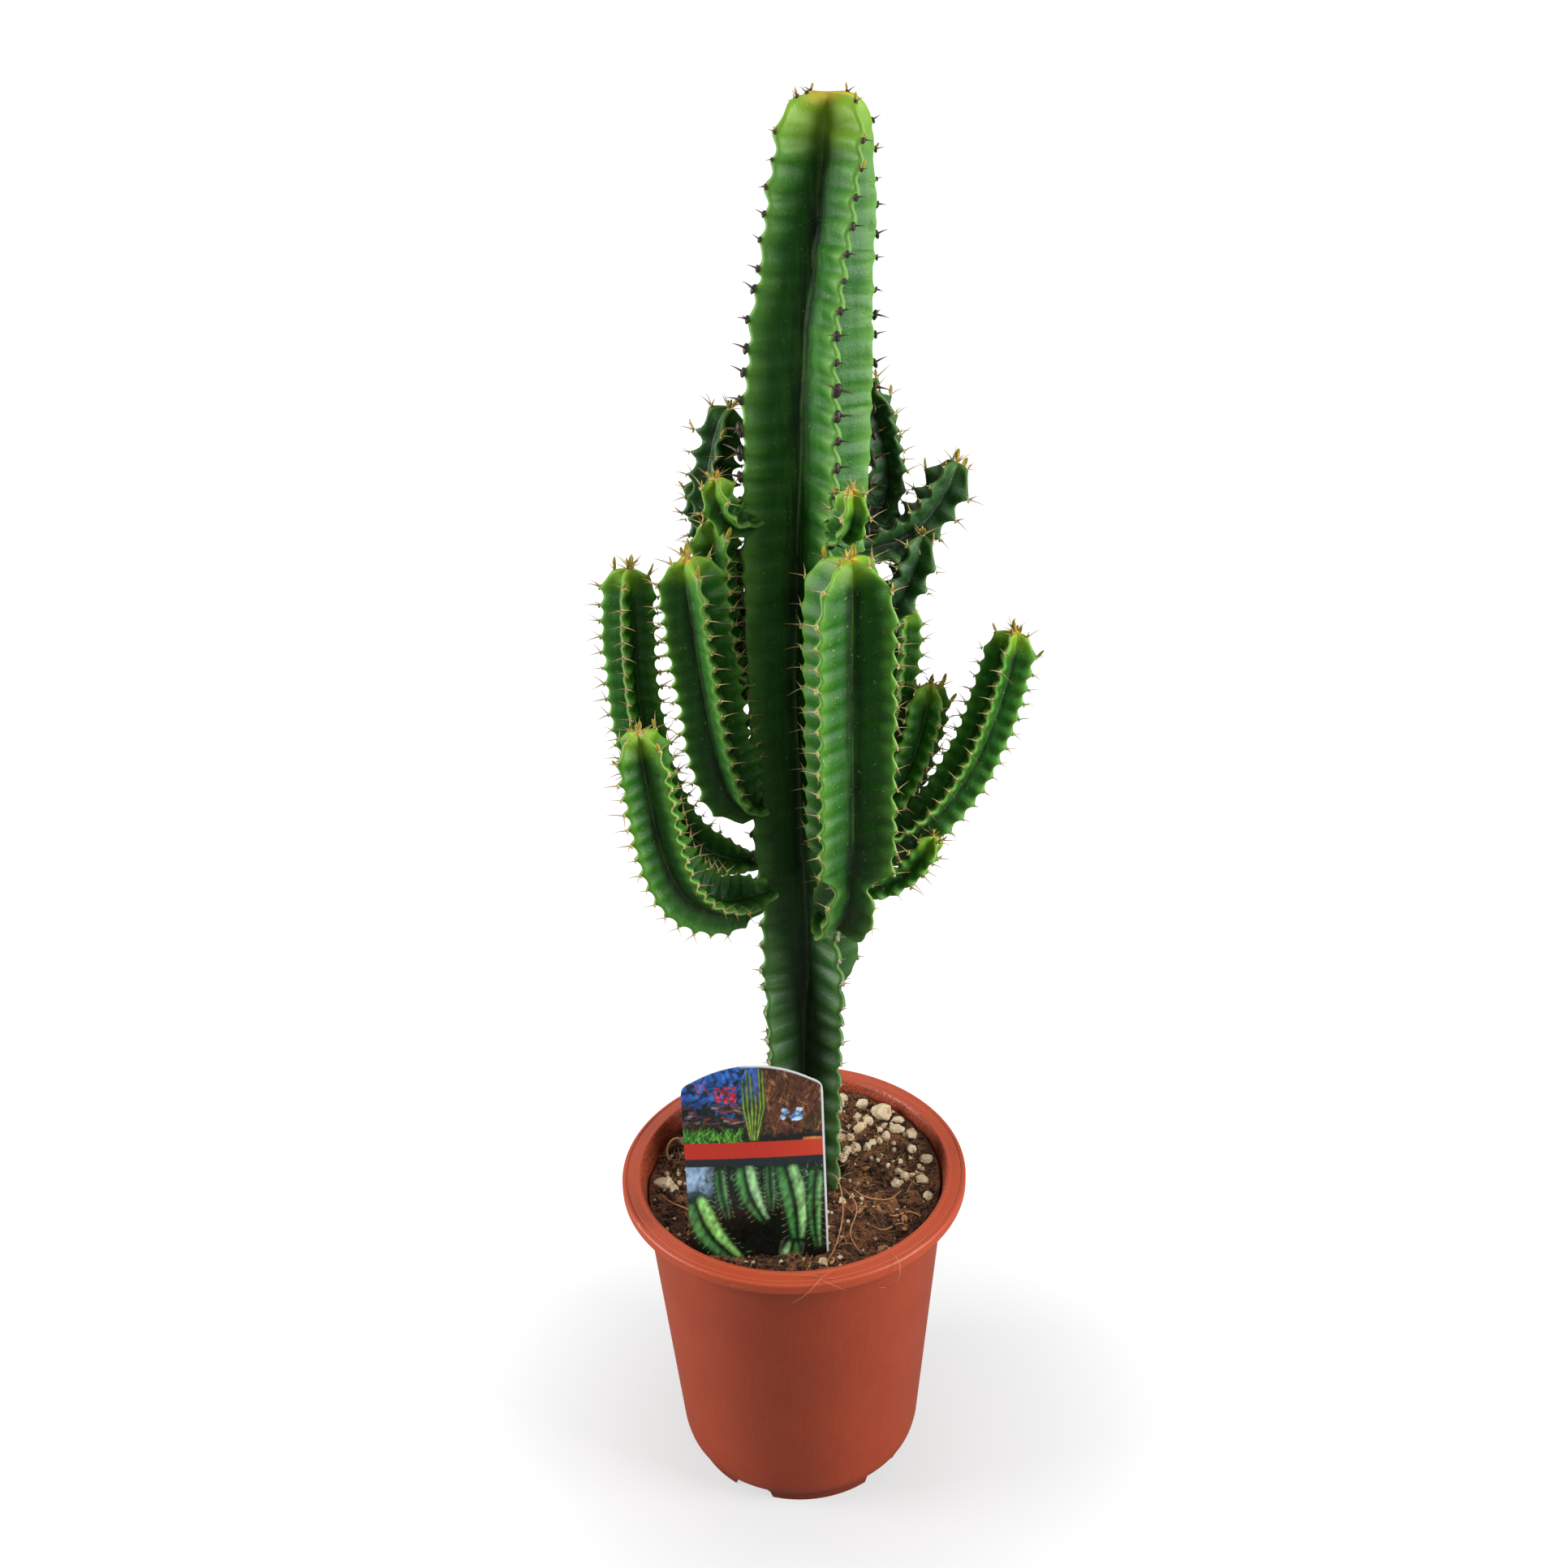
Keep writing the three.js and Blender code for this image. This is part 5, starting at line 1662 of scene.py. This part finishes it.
# foot, top, bend, width and bright face of each painted stem
PAINTED = [
    (0.24, 0.49, 0.28, 0.26, 0.01, 0.055, (90, 150, 92)),
    (0.42, 0.50, 0.54, 0.25, 0.03, 0.100, (168, 222, 158)),
    (0.60, 0.50, 0.60, 0.30, 0.00, 0.050, (84, 140, 84)),
    (0.72, 0.49, 0.78, 0.15, -0.02, 0.115, (152, 216, 136)),
    (0.93, 0.47, 0.92, 0.10, 0.02, 0.070, (120, 190, 108)),
    (0.06, 0.33, 0.33, 0.05, 0.05, 0.125, (150, 222, 112)),
    (0.70, 0.00, 0.74, 0.12, 0.00, 0.090, (150, 206, 144)),
]
for values in PAINTED:
    painted_stem(*values)
tuft(34, (0.38, 0.62), (0.05, 0.20), (0, 180), 0.07, 0.03, [(8, 12, 10), (14, 20, 16)], 0.85)
waves = brush.uniform(-1, 1, (36, 2)) * brush.uniform(40, 220, (36, 1))
field = np.sin(spots @ waves.T + brush.uniform(0, TAU, 36)).sum(axis=1) / 36 ** 0.5
picture *= np.clip(1.1 + 0.36 * field, 0.35, 2.0)[:, None]
ink(above(high, 0.516, 0.002) * under(high, 0.556, 0.002), (28, 40, 44))
red_band = above(high, 0.554, 0.002) * under(high, 0.634, 0.002)
ink(red_band, (204, 50, 34))
ink(red_band * above(across, 0.55, 0.5) * 0.35, (232, 96, 52))
rim = np.array([card_top(x) for x in (across - 0.5) * LABEL["width"]]) / CARD_HEIGHT
ink(np.maximum(above(across, 0.984, 0.004), above(high - rim, -0.008, 0.003) * above(across, 0.4, 0.1)),
    (236, 238, 240))
print("print colours from", picture.min(axis=0).round(3), "to", picture.max(axis=0).round(3))

# %% [markdown]
# The card is two grids of points, front and back, joined round the rim. The colours go on the
# points as an attribute, which the material reads.

# %% Build the card
def grid_faces(columns_count, rows, base, flip):
    faces = []
    for i in range(columns_count - 1):
        for j in range(rows - 1):
            a = base + i * rows + j
            quad = (a, a + rows, a + rows + 1, a + 1)
            faces.append(quad[::-1] if flip else quad)
    return faces


to_back = label_place.to_3x3() @ Vector((0, LABEL["thickness"], 0))
points = front + [p + to_back for p in front]
faces = grid_faces(ACROSS, UPWARDS, 0, False) + grid_faces(ACROSS, UPWARDS, len(front), True)
loop = [i * UPWARDS for i in range(ACROSS)]
loop += [(ACROSS - 1) * UPWARDS + j for j in range(1, UPWARDS)]
loop += [i * UPWARDS + UPWARDS - 1 for i in range(ACROSS - 2, -1, -1)]
loop += [j for j in range(UPWARDS - 2, 0, -1)]
faces += [(a, a + len(front), b + len(front), b) for a, b in zip(loop, loop[1:] + loop[:1])]
card = mesh_object("plant_label_card", points, faces)
paint = card.data.attributes.new("print", "FLOAT_COLOR", "POINT")
rgba = np.ones((len(points), 4))
rgba[:len(front), :3] = picture
rgba[len(front):, :3] = 0.78
paint.data.foreach_set("color", rgba.ravel())
smooth_by_angle(card.data, 30)

# %% [markdown]
# Printed plastic has a thin glossy varnish over the ink, which is the shader's coat. Soil has
# dulled it in places. The stake below the card is plain pale plastic and goes down into the soil.

# %% Label finish and stake
gloss, tree, shader = new_finish("label_print", 0.32, Coat_Weight=0.35, Coat_Roughness=0.12)
place = object_place(tree)
printed = surface_value(tree, "print", "Color")
worn = ramp(noise_value(tree, place, 240.0, 4.0, 0.7), 0.60, 0.74, 0, 0.16)
connect(mixed(worn, printed, colour(120, 104, 84)), shader.inputs["Base Color"])
connect(clamped(0.26 + worn * 1.2), shader.inputs["Roughness"])
grained(tree, shader, place, 700.0, 0.00004)
cover(card.data, gloss)

half, length = LABEL["stake"] / 2, LABEL["stake_length"]
outline = [(-half, 3 * MM), (-half, 12 * MM - length), (0, -length), (half, 12 * MM - length),
           (half, 3 * MM)]
stake_place = label_place @ Matrix.Translation((0, -0.4 * MM, 0))
points, faces = prism(outline, LABEL["thickness"] * 0.8, stake_place)
stake = outward(mesh_object("plant_label_stake", points, faces, smooth=False))
white = stake.data.attributes.new("print", "FLOAT_COLOR", "POINT")
white.data.foreach_set("color", [0.78, 0.78, 0.78, 1] * len(points))
cover(stake.data, gloss)
for piece in (card, stake):
    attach(piece, "root")
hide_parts("plant_label")
print("label triangles:", triangles(card.data))

# %% Finish
bpy.context.view_layer.update()
